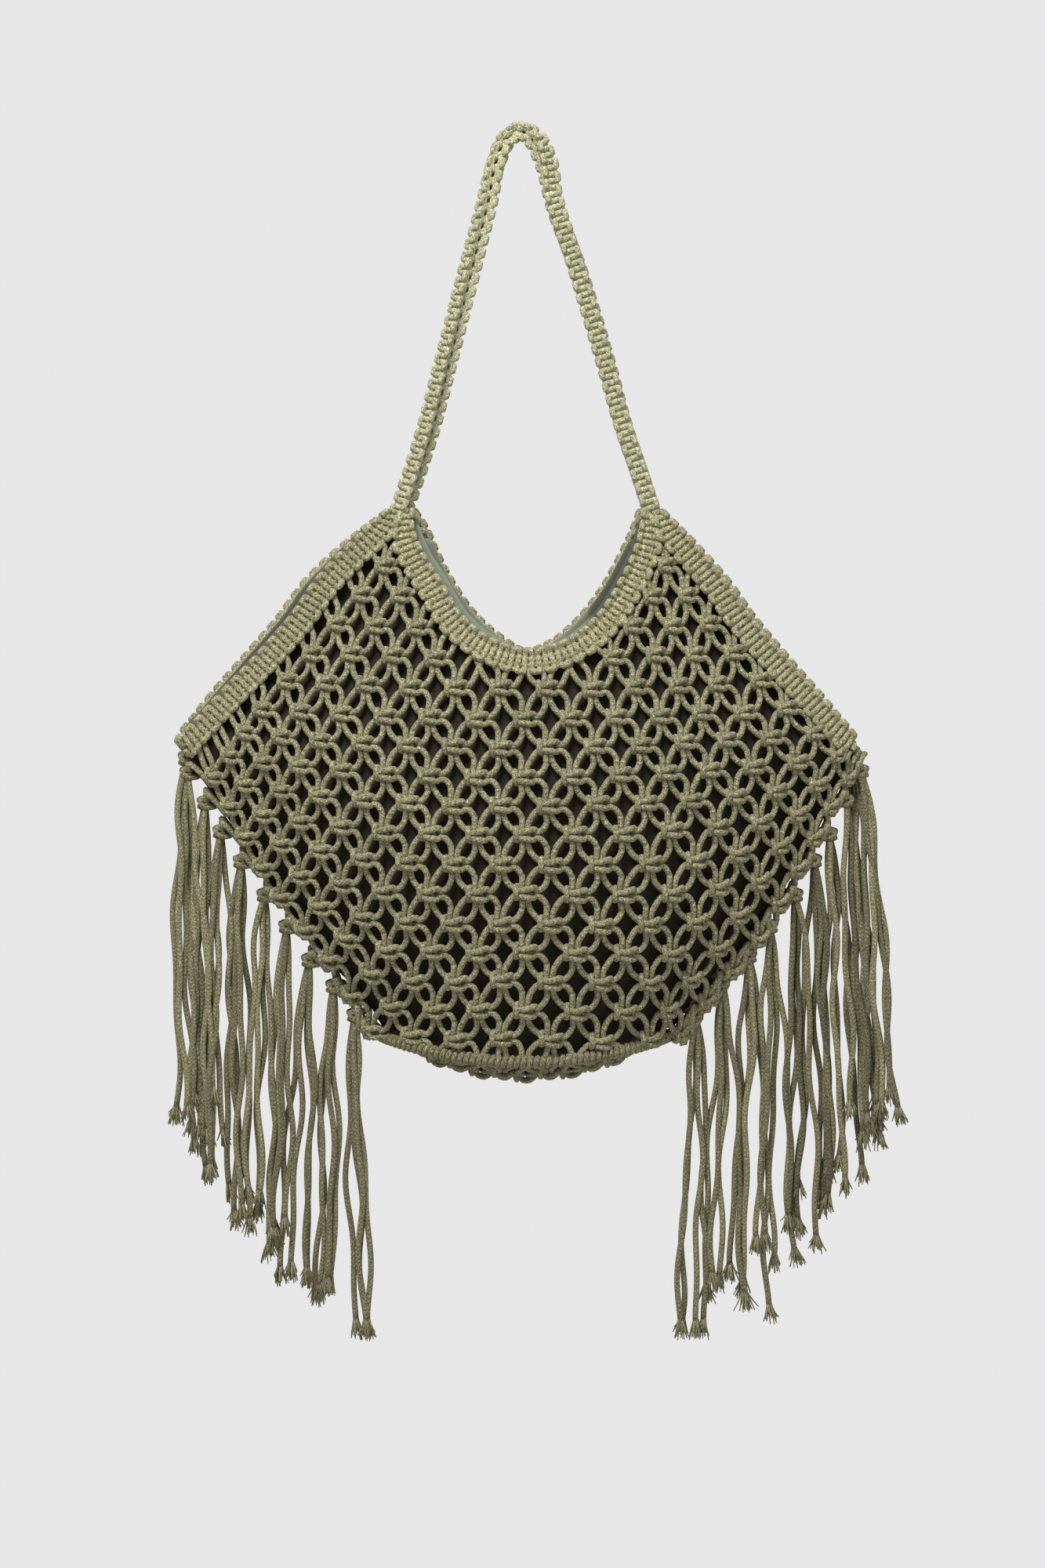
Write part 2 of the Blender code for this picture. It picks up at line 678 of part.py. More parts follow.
def build_fringe(name, sign, locks):
    """Knotted head down the side seam with locks of cord fused to it."""
    seam = seam_line(sign, 0.0, 4.0)
    seam = path(seam[::4], 7.5)
    reach = HEAD_RADIUS + HEAD_KNOT + GAP
    run = unit(np.gradient(seam, axis=0))
    outward = np.stack([run[:, 1], -run[:, 0]], axis=1) * (1 if sign < 0 else -1)
    line = seam + outward * (reach - HEAD_SINK)
    line = line[2:-1]
    run, outward = run[2:-1], outward[2:-1]
    n = len(line)
    share = np.linspace(0, 1, n)
    knots = len(locks)
    size = HEAD_RADIUS + HEAD_KNOT * np.cos(2 * math.pi * share * (knots - 1))
    turn = np.arange(8) * math.pi / 4
    flat = line[:, None] + outward[:, None] * (size[:, None] * np.cos(turn)[None])[..., None]
    deep = size[:, None] * HEAD_DEPTH * np.sin(turn)[None]
    points = np.stack([flat[..., 0], deep, flat[..., 1]], axis=-1)
    head = make(name, *rail(points, points.shape[:2], False), (0.2, 0.18, 0.1), 0.9)
    for i, row in enumerate(locks):
        lock = dict(zip(LOCK_COLUMNS, row))
        at = np.array([np.interp(lock["share"], share, c) for c in line.T])
        down = np.concatenate([[0, LOCK_NECK], np.linspace(LOCK_SHOULDER, lock["length"], 6)])
        part = down / lock["length"]
        grow = np.minimum(1, part * 4)
        side_x = at[0] - sign * lock["drift"] * part**1.2 + LOCK_WAVE * np.sin(part * 7 + i) * grow
        wave = LOCK_WAVE * np.sin(part * 5 + 2 * i) * grow
        y = lock["front"] * LOCK_STAND * np.minimum(1, part * 5) + wave
        thin = 1 - (1 - LOCK_TIP) * np.clip((part - 0.8) / 0.2, 0, 1) ** 2
        taper = np.where(part < 0.06, 0.7 + part * 5, 1.0) * thin
        turn = np.arange(6) * math.pi / 3 + 0.2
        px = side_x[:, None] + lock["width"] / 2 * taper[:, None] * np.cos(turn)[None]
        py = y[:, None] + LOCK_DEPTH / 2 * taper[:, None] * np.sin(turn)[None]
        pz = np.broadcast_to((at[1] - down)[:, None], px.shape)
        points = np.stack([px, py, pz], axis=-1)
        helper = make(f"{name}_lock_{i}", *rail(points, points.shape[:2], False), (0.2, 0.18, 0.1), 0.9)
        helper.hide_render = True
        helper.display_type = "WIRE"
        joint = head.modifiers.new(f"lock_{i}", "BOOLEAN")
        joint.operation = "UNION"
        joint.solver = "EXACT"
        joint.object = helper


for old in list(bpy.data.objects):
    bpy.data.objects.remove(old)

build_handle()
gaps = panel(-1, "front", (0.26, 0.24, 0.14))
gaps += panel(1, "back", (0.2, 0.18, 0.11))
build_lining()
build_ring()
gaps += build_base()
build_fringe("fringe_left", -1, LEFT_LOCKS)
build_fringe("fringe_right", 1, RIGHT_LOCKS)
print("openings in the nets:", gaps)
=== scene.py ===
"""Net shoulder bag of knotted sage cotton cord, hanging by its handle.

Millimetres in the tables and sums, metres in the meshes. Each section makes one
piece, or one group of like pieces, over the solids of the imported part.
"""

import math

import bpy
import numpy as np
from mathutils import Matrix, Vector


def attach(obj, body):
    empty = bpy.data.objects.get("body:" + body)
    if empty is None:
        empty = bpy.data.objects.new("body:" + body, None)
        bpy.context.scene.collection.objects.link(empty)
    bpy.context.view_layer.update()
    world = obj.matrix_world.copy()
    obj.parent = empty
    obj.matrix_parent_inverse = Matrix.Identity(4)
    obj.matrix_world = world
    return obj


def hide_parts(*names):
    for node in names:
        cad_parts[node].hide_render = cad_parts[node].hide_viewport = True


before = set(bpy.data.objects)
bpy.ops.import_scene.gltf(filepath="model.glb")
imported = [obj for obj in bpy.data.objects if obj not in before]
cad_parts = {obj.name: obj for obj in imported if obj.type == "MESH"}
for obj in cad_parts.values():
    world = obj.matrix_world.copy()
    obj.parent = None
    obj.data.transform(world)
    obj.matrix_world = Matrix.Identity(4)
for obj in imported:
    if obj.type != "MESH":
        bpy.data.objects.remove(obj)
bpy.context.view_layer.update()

# Handle: two flat sinnets of square knots in 4 mm braided cotton cord, laid back
# to back. They rise from the bag's two peaks, turn edge on towards the top and
# meet in one bend, where the bag hangs.
CORD_RADIUS = 1.95
CORE_RADIUS = 1.6
CORE_SHARES = (-0.8, -0.3, 0.3, 0.8)
CORD_OUT = 1.3
RIB_SHARE = 0.62
HALF_KNOT_PITCH = 4.2
STEPS_PER_HALF_KNOT = 14
STRAP_WIDTH = 12.0
STRAP_APART = 2.3
PLAIT_LENGTH = 2.6
FLECKS_PER_METRE = 1500.0
PATCHES_PER_METRE = 90.0
LINE_STEP = 2.0
FRONTWARD = np.array([0.0, -1.0, 0.0])
# The handle's middle line in the front view, x and z, from peak to peak.
HANDLE = np.array(
    [
        (-77.5, -241.0),
        (-66.3, -208.5),
        (-60.0, -188.5),
        (-46.8, -138.5),
        (-31.3, -78.5),
        (-21.0, -38.5),
        (-15.3, -14.0),
        (-8.5, 0.5),
        (0.0, 5.7),
        (8.5, 1.0),
        (15.5, -12.0),
        (21.3, -38.5),
        (35.0, -78.5),
        (53.3, -138.5),
        (67.5, -188.5),
        (74.5, -208.5),
        (85.0, -241.0),
    ]
)
# How far the straps are turned from facing the front, by share of that line.
TWIST_SHARE = np.array([0.0, 0.25, 0.40, 0.49, 0.53, 0.57, 0.64, 1.0])
TWIST_DEGREES = np.array([28.0, 52.0, 75.0, 86.0, 48.0, 16.0, 0.0, 0.0])
chance = np.random.default_rng(7)


def unit(v):
    """Each vector divided by its own length."""
    return v / np.maximum(np.linalg.norm(v, axis=-1, keepdims=True), 1e-9)


def smooth(at, knots, values):
    """Cubic through the knots: each span blends its end values and end slopes,
    and a slope is the mean of the slopes on either side of the knot."""
    order = np.argsort(knots)
    k, v = knots[order], values[order]
    slope = np.gradient(v, k)
    at = np.clip(np.asarray(at, float), k[0], k[-1])
    i = np.clip(np.searchsorted(k, at, side="right") - 1, 0, len(k) - 2)
    span = k[i + 1] - k[i]
    t = (at - k[i]) / span
    start = v[i] * (1 + 2 * t) * (1 - t) ** 2 + slope[i] * span * t * (1 - t) ** 2
    return start + v[i + 1] * t * t * (3 - 2 * t) + slope[i + 1] * span * t * t * (t - 1)


def run_of(line):
    """Length along a line at each of its points: the sum of the steps before it."""
    steps = np.linalg.norm(np.diff(line, axis=-2), axis=-1)
    zero = np.zeros(steps.shape[:-1] + (1,))
    return np.concatenate([zero, np.cumsum(steps, axis=-1)], axis=-1)


def even_line(points, step):
    """Smooth line through the points, each coordinate a cubic of the length so
    far, with its own points set a step apart."""
    far = run_of(points)
    fine = np.linspace(0, far[-1], 40 * len(points))
    line = np.stack([smooth(fine, far, c) for c in points.T], axis=1)
    run = run_of(line)
    even = np.linspace(0, run[-1], max(3, int(round(run[-1] / step)) + 1))
    return np.stack([np.interp(even, run, c) for c in line.T], axis=1)


def cords(lines, facing, radius=CORD_RADIUS, sides=6, tone=None):
    """Round cords along n lines of m points. Round each point p lies the ring
    p + r (cos a side + sin a up), where side is square to the line and to the
    facing direction and up is square to both. The ends are closed."""
    lines = np.asarray(lines, float)
    n, m = lines.shape[:2]
    along = unit(np.gradient(lines, axis=1, edge_order=2))
    side = unit(np.cross(along, np.broadcast_to(facing, lines.shape)))[:, :, None]
    up = np.cross(side, along[:, :, None])
    turn = (np.arange(sides) * 2 * math.pi / sides)[:, None]
    thick = np.broadcast_to(radius, (n, m))[:, :, None, None]
    points = lines[:, :, None] + thick * (side * np.cos(turn) + up * np.sin(turn))
    at = np.arange(n * m * sides).reshape(n, m, sides)
    after = np.roll(at, -1, axis=2)
    quads = np.stack([at[:, :-1], at[:, 1:], after[:, 1:], after[:, :-1]], axis=-1)
    caps = np.concatenate([at[:, 0], at[:, -1, ::-1]])
    far = run_of(lines) + chance.uniform(0, 40, (n, 1))
    round_map = np.stack([np.arange(sides) + s for s in (0, 0, 1, 1)], axis=-1) / sides
    along_map = np.stack([far[:, :-1], far[:, 1:], far[:, 1:], far[:, :-1]], axis=-1)
    shape = (n, m - 1, sides, 4)
    quad_map = np.stack(
        [np.broadcast_to(round_map, shape), np.broadcast_to(along_map[:, :, None], shape)], axis=-1
    )
    tone = chance.normal(1.0, 0.05, n) if tone is None else tone
    return {
        "points": points.reshape(-1, 3),
        "quads": quads.reshape(-1, 4),
        "caps": caps,
        "map": quad_map.reshape(-1, 2),
        "tone": np.repeat(np.broadcast_to(tone, (n,)), m * sides),
    }


def add_piece(name, parts, material, nodes):
    """One mesh of all the parts, in metres, with their maps and tones kept. It
    rides with the bag and stands for the named solids."""
    points = np.concatenate([p["points"] for p in parts]) * 0.001
    shift = np.cumsum([0] + [len(p["points"]) for p in parts])
    corners, sizes, maps = [], [], []
    for part, start in zip(parts, shift):
        corners += [(part["quads"] + start).ravel(), (part["caps"] + start).ravel()]
        sizes += [np.full(len(part["quads"]), 4), np.full(len(part["caps"]), part["caps"].shape[1])]
        maps += [part["map"], np.zeros((part["caps"].size, 2))]
    corners, sizes, maps = (np.concatenate(x) for x in (corners, sizes, maps))
    mesh = bpy.data.meshes.new(name)
    mesh.vertices.add(len(points))
    mesh.vertices.foreach_set("co", points.ravel())
    mesh.loops.add(len(corners))
    mesh.loops.foreach_set("vertex_index", corners.astype(np.int32))
    mesh.polygons.add(len(sizes))
    mesh.polygons.foreach_set("loop_start", (np.cumsum(sizes) - sizes).astype(np.int32))
    mesh.update(calc_edges=True)
    mesh.polygons.foreach_set("use_smooth", np.ones(len(sizes), bool))
    mesh.uv_layers.new(name="cord").data.foreach_set("uv", maps.ravel())
    tones = mesh.attributes.new("tone", "FLOAT", "POINT")
    tones.data.foreach_set("value", np.concatenate([p["tone"] for p in parts]))
    mesh.materials.append(material)
    piece = bpy.data.objects.new(name, mesh)
    bpy.context.scene.collection.objects.link(piece)
    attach(piece, "root")
    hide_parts(*nodes)


def linear(hex_colour):
    """An sRGB hex colour as linear red, green, blue and an alpha of one."""
    parts = np.array([int(hex_colour[i : i + 2], 16) for i in (1, 3, 5)]) / 255
    low, high = parts / 12.92, ((parts + 0.055) / 1.055) ** 2.4
    return (*np.where(parts <= 0.04045, low, high), 1.0)


def node(tree, kind, *values, named=(), out=0, stops=(), **settings):
    """A node of this kind with its settings. Values go to its inputs in order and
    named ones by name or number, each a constant or another node's output. Stops
    are a ramp's places and hex colours. One of the node's outputs comes back."""
    made = tree.nodes.new("ShaderNode" + kind)
    for key, value in settings.items():
        setattr(made, key, value)
    for key, value in [*enumerate(values), *dict(named).items()]:
        if isinstance(value, bpy.types.NodeSocket):
            tree.links.new(value, made.inputs[key])
        else:
            made.inputs[key].default_value = value
    band = made.color_ramp.elements if stops else []
    for _ in stops[2:]:
        band.new(0.5)
    for element, (place, colour) in zip(band, stops):
        element.position = place
        element.color = linear(colour)
    return made.outputs[out]


def braided_cotton(name, dark, body, pale):
    """Heathered braided cotton: dark and pale fibres lie in streaks along the
    plaits, which show as rows of V's, four round the cord and 2.6 mm long, with
    flecks 0.7 mm and paler patches 11 mm across. The fibres scatter the light, so
    the surface is rough with a faint soft sheen."""
    made = bpy.data.materials.new(name)
    made.use_nodes = True
    tree = made.node_tree
    shader = tree.nodes["Principled BSDF"]
    place = node(tree, "TexCoord", out="Object")
    cord_map = node(tree, "UVMap", uv_map="cord")
    around = node(tree, "SeparateXYZ", cord_map, out="X")
    along = node(tree, "SeparateXYZ", cord_map, out="Y")
    quarter = node(tree, "Math", around, 4.0, operation="MULTIPLY")
    vee = node(tree, "Math", quarter, 0.5, operation="PINGPONG")
    slant = node(tree, "Math", vee, 1.3, operation="MULTIPLY")
    step = node(tree, "Math", along, 1 / PLAIT_LENGTH, slant, operation="MULTIPLY_ADD")
    plait = node(tree, "Math", step, 0.5, operation="PINGPONG")
    yarn = node(tree, "Math", quarter, 2.0, operation="MULTIPLY")
    yarn_map = node(
        tree,
        "CombineXYZ",
        node(tree, "Math", step, 4.6, operation="MULTIPLY"),
        node(tree, "Math", vee, 3.4, operation="MULTIPLY"),
        node(tree, "Math", yarn, operation="FLOOR"),
    )
    grain = {"Detail": 2.0, "Roughness": 0.6}
    streak = node(tree, "TexNoise", yarn_map, named={"Scale": 1.0, **grain})
    fleck = node(tree, "TexNoise", place, named={"Scale": FLECKS_PER_METRE, **grain})
    streaks = node(tree, "Math", streak, 0.7, operation="MULTIPLY")
    fibres = node(tree, "Math", fleck, 0.3, streaks, operation="MULTIPLY_ADD")
    stops = [(0.385, dark), (0.465, body), (0.525, body), (0.605, pale)]
    heather = node(tree, "ValToRGB", fibres, stops=stops)
    patch = node(tree, "TexNoise", place, named={"Scale": PATCHES_PER_METRE, "Detail": 2.0})
    patches = node(tree, "Math", patch, 0.3, 0.85, operation="MULTIPLY_ADD")
    tone = node(tree, "Attribute", out="Fac", attribute_name="tone")
    tone = node(tree, "Math", tone, patches, operation="MULTIPLY")
    # Painted shade: the colour is darkened in the grooves between the plaits, down to 0.6 of itself.
    groove = node(tree, "Math", plait, 0.22, 0.1, operation="SMOOTH_MIN")
    shade = node(tree, "Math", groove, 2.4, 0.6, operation="MULTIPLY_ADD")
    tone = node(tree, "Math", tone, shade, operation="MULTIPLY")
    blend = {"data_type": "RGBA", "blend_type": "MULTIPLY"}
    colour = node(tree, "Mix", 1.0, named={6: heather, 7: tone}, out=2, **blend)
    relief = node(tree, "Math", fibres, 0.6, plait, operation="MULTIPLY_ADD")
    bump = node(tree, "Bump", named={"Strength": 0.6, "Distance": 0.0007, "Height": relief})
    tree.links.new(colour, shader.inputs["Base Color"])
    tree.links.new(bump, shader.inputs["Normal"])
    shader.inputs["Roughness"].default_value = 0.9
    shader.inputs["Specular IOR Level"].default_value = 0.25
    shader.inputs["Sheen Weight"].default_value = 0.12
    shader.inputs["Sheen Roughness"].default_value = 0.5
    return made


def sinnet(line, across, face, half, pitch=HALF_KNOT_PITCH, sides=6, loop=2.0):
    """Flat row of square knots, whose cords reach the given half w to each side.
    With p half knots gone, c = cos(pi p) and s(a) = sin(pi/2 a), the front cord
    lies 0.62 w s(c) to one side, in front but for its turns, and makes the ribs.
    The back cord lies w s(s(s(c))) to the other, behind but for its turns, where
    it comes over the ribs' ends by the square of its share of the way and runs
    along the edge as an oblong loop, because both cords gain ground there: t =
    pitch (p + 0.9 sin(2 pi p) / 2 pi). Four straight core cords run inside."""
    run = run_of(line)
    count = int(round(run[-1] / pitch))
    p = np.linspace(0.5, count - 0.5, (count - 1) * STEPS_PER_HALF_KNOT + 1)
    swing = np.sin(math.pi / 2 * np.cos(math.pi * p))
    edge = np.sin(math.pi / 2 * np.sin(math.pi / 2 * swing))
    t = (p + 0.9 * np.sin(2 * math.pi * p) / (2 * math.pi)) * run[-1] / count
    wide_at = np.broadcast_to(half, run.shape)
    wide = np.interp(t, run, wide_at)
    front = (-wide * swing * RIB_SHARE, CORD_OUT - 2 * CORD_OUT * swing**4)
    behind = (wide * edge, (loop + CORD_OUT) * edge**2 - CORD_OUT)

    def at(values):
        """The values along the line, read where the worked cords lie."""
        return np.stack([np.interp(t, run, c) for c in np.moveaxis(values, -1, 0)], axis=1)

    lines = [at(line) + at(across) * s[:, None] + at(face) * f[:, None] for s, f in (front, behind)]
    core = [line + across * (share * wide_at)[:, None] for share in CORE_SHARES]
    return [
        cords(np.stack(lines), at(face)[None], sides=sides),
        cords(np.stack(core)[:, 1:-1:2], face[None, 1:-1:2], CORE_RADIUS, 5),
    ]


handle_line = even_line(HANDLE, LINE_STEP)
handle_run = unit(np.gradient(handle_line, axis=0))
flat_zero = np.zeros(len(handle_line))
handle_along = np.stack([handle_run[:, 0], flat_zero, handle_run[:, 1]], axis=1)
handle_out = np.stack([-handle_run[:, 1], flat_zero, handle_run[:, 0]], axis=1)
handle_share = np.linspace(0, 1, len(handle_line))
turned = np.radians(smooth(handle_share, TWIST_SHARE, TWIST_DEGREES))[:, None]
handle_face = np.cos(turned) * FRONTWARD + np.sin(turned) * handle_out
handle_across = np.cross(handle_along, handle_face)
handle_middle = np.stack([handle_line[:, 0], flat_zero, handle_line[:, 1]], axis=1)
handle_cotton = braided_cotton("sage_cotton_in_the_light", "#57542f", "#a3a17d", "#e6e3c6")
for strap, way in (("front", 1.0), ("back", -1.0)):
    parts = sinnet(
        handle_middle + handle_face * way * STRAP_APART,
        handle_across,
        handle_face * way,
        STRAP_WIDTH / 2 - CORD_RADIUS,
        sides=7,
    )
    add_piece(f"knotted_strap_{strap}", parts, handle_cotton, [f"handle_{strap}_strap"])

# Borders: each edge of the two faces is a close row of square knots, 19 mm wide,
# worked in the same cord. It starts narrow at the peak under the handle and
# carries the net on its lower side.

# Rows down the bag: height, the bag's middle and half width in the front view, and
# the seam's and the belly's half depth.
BODY = np.array(
    [
        (-228.0, 3.5, 76.0, 2.7, 0.5),
        (-235.0, 3.0, 87.0, 2.7, 1.0),
        (-247.0, 2.0, 102.0, 4.5, 3.5),
        (-258.0, 1.0, 113.5, 5.0, 6.5),
        (-281.0, 0.0, 134.5, 5.6, 12.0),
        (-301.0, 0.0, 148.5, 6.0, 17.0),
        (-331.0, -0.5, 174.0, 6.0, 25.0),
        (-361.0, -1.0, 201.0, 6.0, 34.0),
        (-388.0, -1.0, 219.5, 6.0, 41.0),
        (-410.0, 1.0, 206.0, 6.0, 46.0),
        (-441.0, 4.0, 189.0, 6.0, 51.0),
        (-482.0, 6.0, 163.0, 6.0, 52.0),
        (-521.0, 6.0, 134.5, 6.0, 47.0),
        (-552.0, 6.0, 106.0, 6.0, 41.0),
        (-572.0, 4.0, 94.0, 6.0, 37.0),
        (-600.0, 3.0, 90.0, 6.0, 34.0),
    ]
)
BODY_Z, MIDDLE, HALF_WIDTH, SEAM, BELLY = BODY.T
SHOULDER_TOP = -235.0
CORNER = -388.0
# Outer edges of the necklines in the front view, x and z, from left to right.
FRONT_NECK = np.array(
    [
        (-66.0, -235.0),
        (-66.5, -247.0),
        (-61.5, -261.0),
        (-48.0, -283.5),
        (-34.5, -305.0),
        (-15.0, -319.5),
        (6.0, -325.0),
        (27.0, -319.5),
        (47.0, -304.0),
        (60.5, -283.5),
        (71.0, -261.0),
        (75.0, -247.0),
        (76.0, -235.0),
    ]
)
BACK_NECK = np.array(
    [
        (-66.0, -235.0),
        (-57.0, -248.0),
        (-52.5, -258.5),
        (-41.0, -281.0),
        (-27.0, -300.5),
        (-11.0, -314.5),
        (4.0, -322.5),
        (18.0, -317.5),
        (33.5, -305.0),
        (49.5, -285.0),
        (63.0, -260.5),
        (69.0, -248.0),
        (74.0, -235.0),
    ]
)
BACK_LEFT_OUT = 7.0
BACK_RIGHT_OUT = 1.5
FRONT_IN = 3.2
BORDER_WIDTH = 19.0
BORDER_PITCH = 4.3
LEAST_WIDTH = 5.2
SHOULDER_NARROW = 120.0
NECK_NARROW = 90.0
PEAK_SHARE = 0.53
SHARE_GAIN = 0.15
GAIN_OVER = 12.0
LEAN_OVER = 24.0
EDGE_MARGIN = 0.5
LEAST_HALF = 1.4
PAST_EDGE = -0.08
SEAM_LEAN = (13.5, 22.0)


def swell_at(x, z, side):
    """How far a shoulder stands outside the seam's outline: the back one out, the
    front one in, by the 0.6th power of a half sine down the shoulder."""
    out = np.where(x < smooth(z, BODY_Z, MIDDLE), BACK_LEFT_OUT, BACK_RIGHT_OUT)
    out = np.where(side > 0, out, -FRONT_IN)
    share = np.clip((z - SHOULDER_TOP) / (CORNER - SHOULDER_TOP), 0, 1)
    return out * np.sin(math.pi * share) ** 0.6


def depth(x, z, side):
    """Distance of a panel from the seam plane: the seam's half depth plus the
    belly times one less the square of the share of the half width, which stops
    falling just past the edge."""
    u = (x - smooth(z, BODY_Z, MIDDLE)) / (smooth(z, BODY_Z, HALF_WIDTH) + swell_at(x, z, side))
    return smooth(z, BODY_Z, SEAM) + smooth(z, BODY_Z, BELLY) * np.maximum(1 - u * u, PAST_EDGE)


def outward(x, z, side):
    """Unit normal of a panel, from the slopes of its depth."""
    across = depth(x + 0.5, z, side) - depth(x - 0.5, z, side)
    down = depth(x, z + 0.5, side) - depth(x, z - 0.5, side)
    return unit(np.stack([-across, np.full_like(across, side), -down], axis=-1))


def on_panel(flat, side):
    """Places in the front view put on the front (-1) or the back (1) panel."""
    x, z = flat[..., 0], flat[..., 1]
    return np.stack([x, side * depth(x, z, side), z], axis=-1)


def shoulder_edge(sign, side):
    """Outer edge of a shoulder, from the peak down to the corner."""
    z = np.linspace(SHOULDER_TOP - 1, CORNER, 60)
    x = smooth(z, BODY_Z, MIDDLE) + sign * smooth(z, BODY_Z, HALF_WIDTH)
    x = x + sign * swell_at(x, z, side)
    return even_line(np.stack([x, z], axis=1)[::3], LINE_STEP)


def apart(at, line):
    """Distance of each place from the nearest side of a line."""
    a, d = line[:-1], np.diff(line, axis=0)
    t = ((at[:, None] - a) * d).sum(2) / (d * d).sum(1)
    return np.linalg.norm(at[:, None] - a - np.clip(t, 0, 1)[..., None] * d, axis=2).min(axis=1)


def border(edge, room, near, narrow, sign, side, begin, end):
    """Sinnet along an edge. It is 19 mm wide, or in the narrow stretch by a peak a
    share of the room to the facing edge, which grows with the way from the peak.
    It leans inwards from the edge, and at its ends in the directions given."""
    run = unit(np.gradient(edge, axis=0))
    far = run_of(edge)
    starts = np.clip(1 - far / LEAN_OVER, 0, 1)[:, None]
    stops = np.clip(1 - (far[-1] - far) / LEAN_OVER, 0, 1)[:, None]
    lean = sign * np.stack([run[:, 1], -run[:, 0]], axis=1) * (1 - starts) * (1 - stops)
    lean = unit(lean + begin * starts + end * stops)
    room = (PEAK_SHARE + SHARE_GAIN * np.clip(near / GAIN_OVER, 0, 1)) * room
    wide = np.where(near < narrow, np.minimum(BORDER_WIDTH, room), BORDER_WIDTH)
    wide = np.maximum(wide, LEAST_WIDTH)[:, None]
    middle = edge + lean * wide / 2
    reach = on_panel(edge + lean * wide, side) - on_panel(edge, side)
    face = outward(middle[:, 0], middle[:, 1], side)
    half = np.maximum(wide[:, 0] / 2 - CORD_RADIUS - EDGE_MARGIN, LEAST_HALF)
    return sinnet(on_panel(middle, side), unit(reach), face, half, BORDER_PITCH, loop=2.5)


# Painted shade: the borders' copy of the cotton is a step darker than the handle's, for the light
# that falls from above; the cord is the same.
border_cotton = braided_cotton("sage_cotton_border_painted_shade", "#3a3720", "#8d8965", "#d8d4b2")
edges = {}
for side, word, neck in ((-1, "front", FRONT_NECK), (1, "back", BACK_NECK)):
    neck_edge = even_line(neck, LINE_STEP)
    edges[side] = {0: neck_edge, -1: shoulder_edge(-1, side), 1: shoulder_edge(1, side)}
    half_way = len(neck_edge) // 2
    facing_edges = ((-1, "left", neck_edge[:half_way]), (1, "right", neck_edge[half_way:]))
    for sign, where, facing in facing_edges:
        edge = edges[side][sign]
        room, near = apart(edge, facing), run_of(edge)
        ends = np.array([-sign, 0.0]), unit(np.array(SEAM_LEAN) * (-sign, -1))
        parts = border(edge, room, near, SHOULDER_NARROW, sign, side, *ends)
        add_piece(f"{word}_{where}_edge", parts, border_cotton, [f"{word}_{where}_shoulder_border"])
    far = run_of(neck_edge)
    room = np.minimum(apart(neck_edge, edges[side][-1]), apart(neck_edge, edges[side][1]))
    near = np.minimum(far, far[-1] - far)
    ends = np.array([[-1.0, 0.0], [1.0, 0.0]])
    parts = border(neck_edge, room, near, NECK_NARROW, 1, side, *ends)
    add_piece(f"{word}_neckline_edge", parts, border_cotton, [f"{word}_neck_border"])

# Nets: each face is an alternating net of square knots of four cords, all tied
# the same way round. The cords come from under the borders, part between knots,
# and at the side seams leave the net for a knot that joins front and back.
COLUMN_PITCH = 31.6
ROW_PITCH = 18.45
FIRST_ROW, FIRST_SEAM_ROW, LAST_ROW = -8, 3, 11
LAST_COLUMN = 9
NET_MIDDLE, NET_TOP = 2.5, -369.5
LEFT_STEP, RIGHT_STEP = 30.3, 32.2
LEFT_CLOSING, RIGHT_CLOSING = 0.07, 0.09
EYE_X, EYE_FAR, EYE_Z = 1.3, 2500.0, -411.0
KNOT_REACH = 11.5
KNOT_SHIFT = 0.45
HIDDEN_UNDER = 9.0
# How far a knot's middle stays from the shoulders' edges and from the neckline.
EDGE_CLEAR, CORNER_CLEAR, SEAM_CLEAR, PEAK_CLEAR = 19.5, 13.0, 11.0, 30.0
NECK_CLEAR, NECK_SIDE_CLEAR = 22.5, 17.5
CORNER_TOP, NECK_SIDE_FOOT = -372.0, -302.0
# Each cord through a knot: across, up and out from the knot's middle. The two
# worked cords make an upright loop at the left and two bars, and the inner two
# run straight down.
FRONT_CORD = np.array(
    [
        (-7.0, 2.6, -0.2),
        (-4.4, 0.8, 1.0),
        (-1.0, 1.0, 3.9),
        (3.4, 2.3, 4.0),
        (6.4, 2.9, 1.8),
        (7.4, 1.1, -0.9),
        (7.3, -1.5, -0.9),
        (5.6, -3.6, 1.8),
        (2.6, -3.6, 3.7),
        (-1.2, -3.0, 3.7),
        (-4.6, -2.3, 0.8),
        (-7.0, -2.6, -0.2),
    ]
)
BEHIND_CORD = np.array(
    [
        (8.0, 1.2, 0.6),
        (5.0, 1.6, -1.6),
        (0.0, 2.2, -3.4),
        (-4.0, 3.4, -1.6),
        (-6.0, 3.6, 1.4),
        (-5.5, 0.0, 3.7),
        (-5.8, -3.8, 1.4),
        (-3.4, -3.6, -2.2),
        (0.5, -3.0, -3.4),
        (4.5, -2.2, -2.2),
        (7.4, -2.1, 0.4),
    ]
)
INNER_LEFT = np.array([(-1.7, 6.4, 0.0), (-1.9, 2.0, 0.0), (-1.9, -2.0, 0.0), (-1.6, -6.0, 0.0)])
INNER_RIGHT = np.array([(2.3, 6.0, 0.0), (1.9, 2.0, 0.0), (1.9, -2.0, 0.0), (1.9, -6.0, 0.0)])
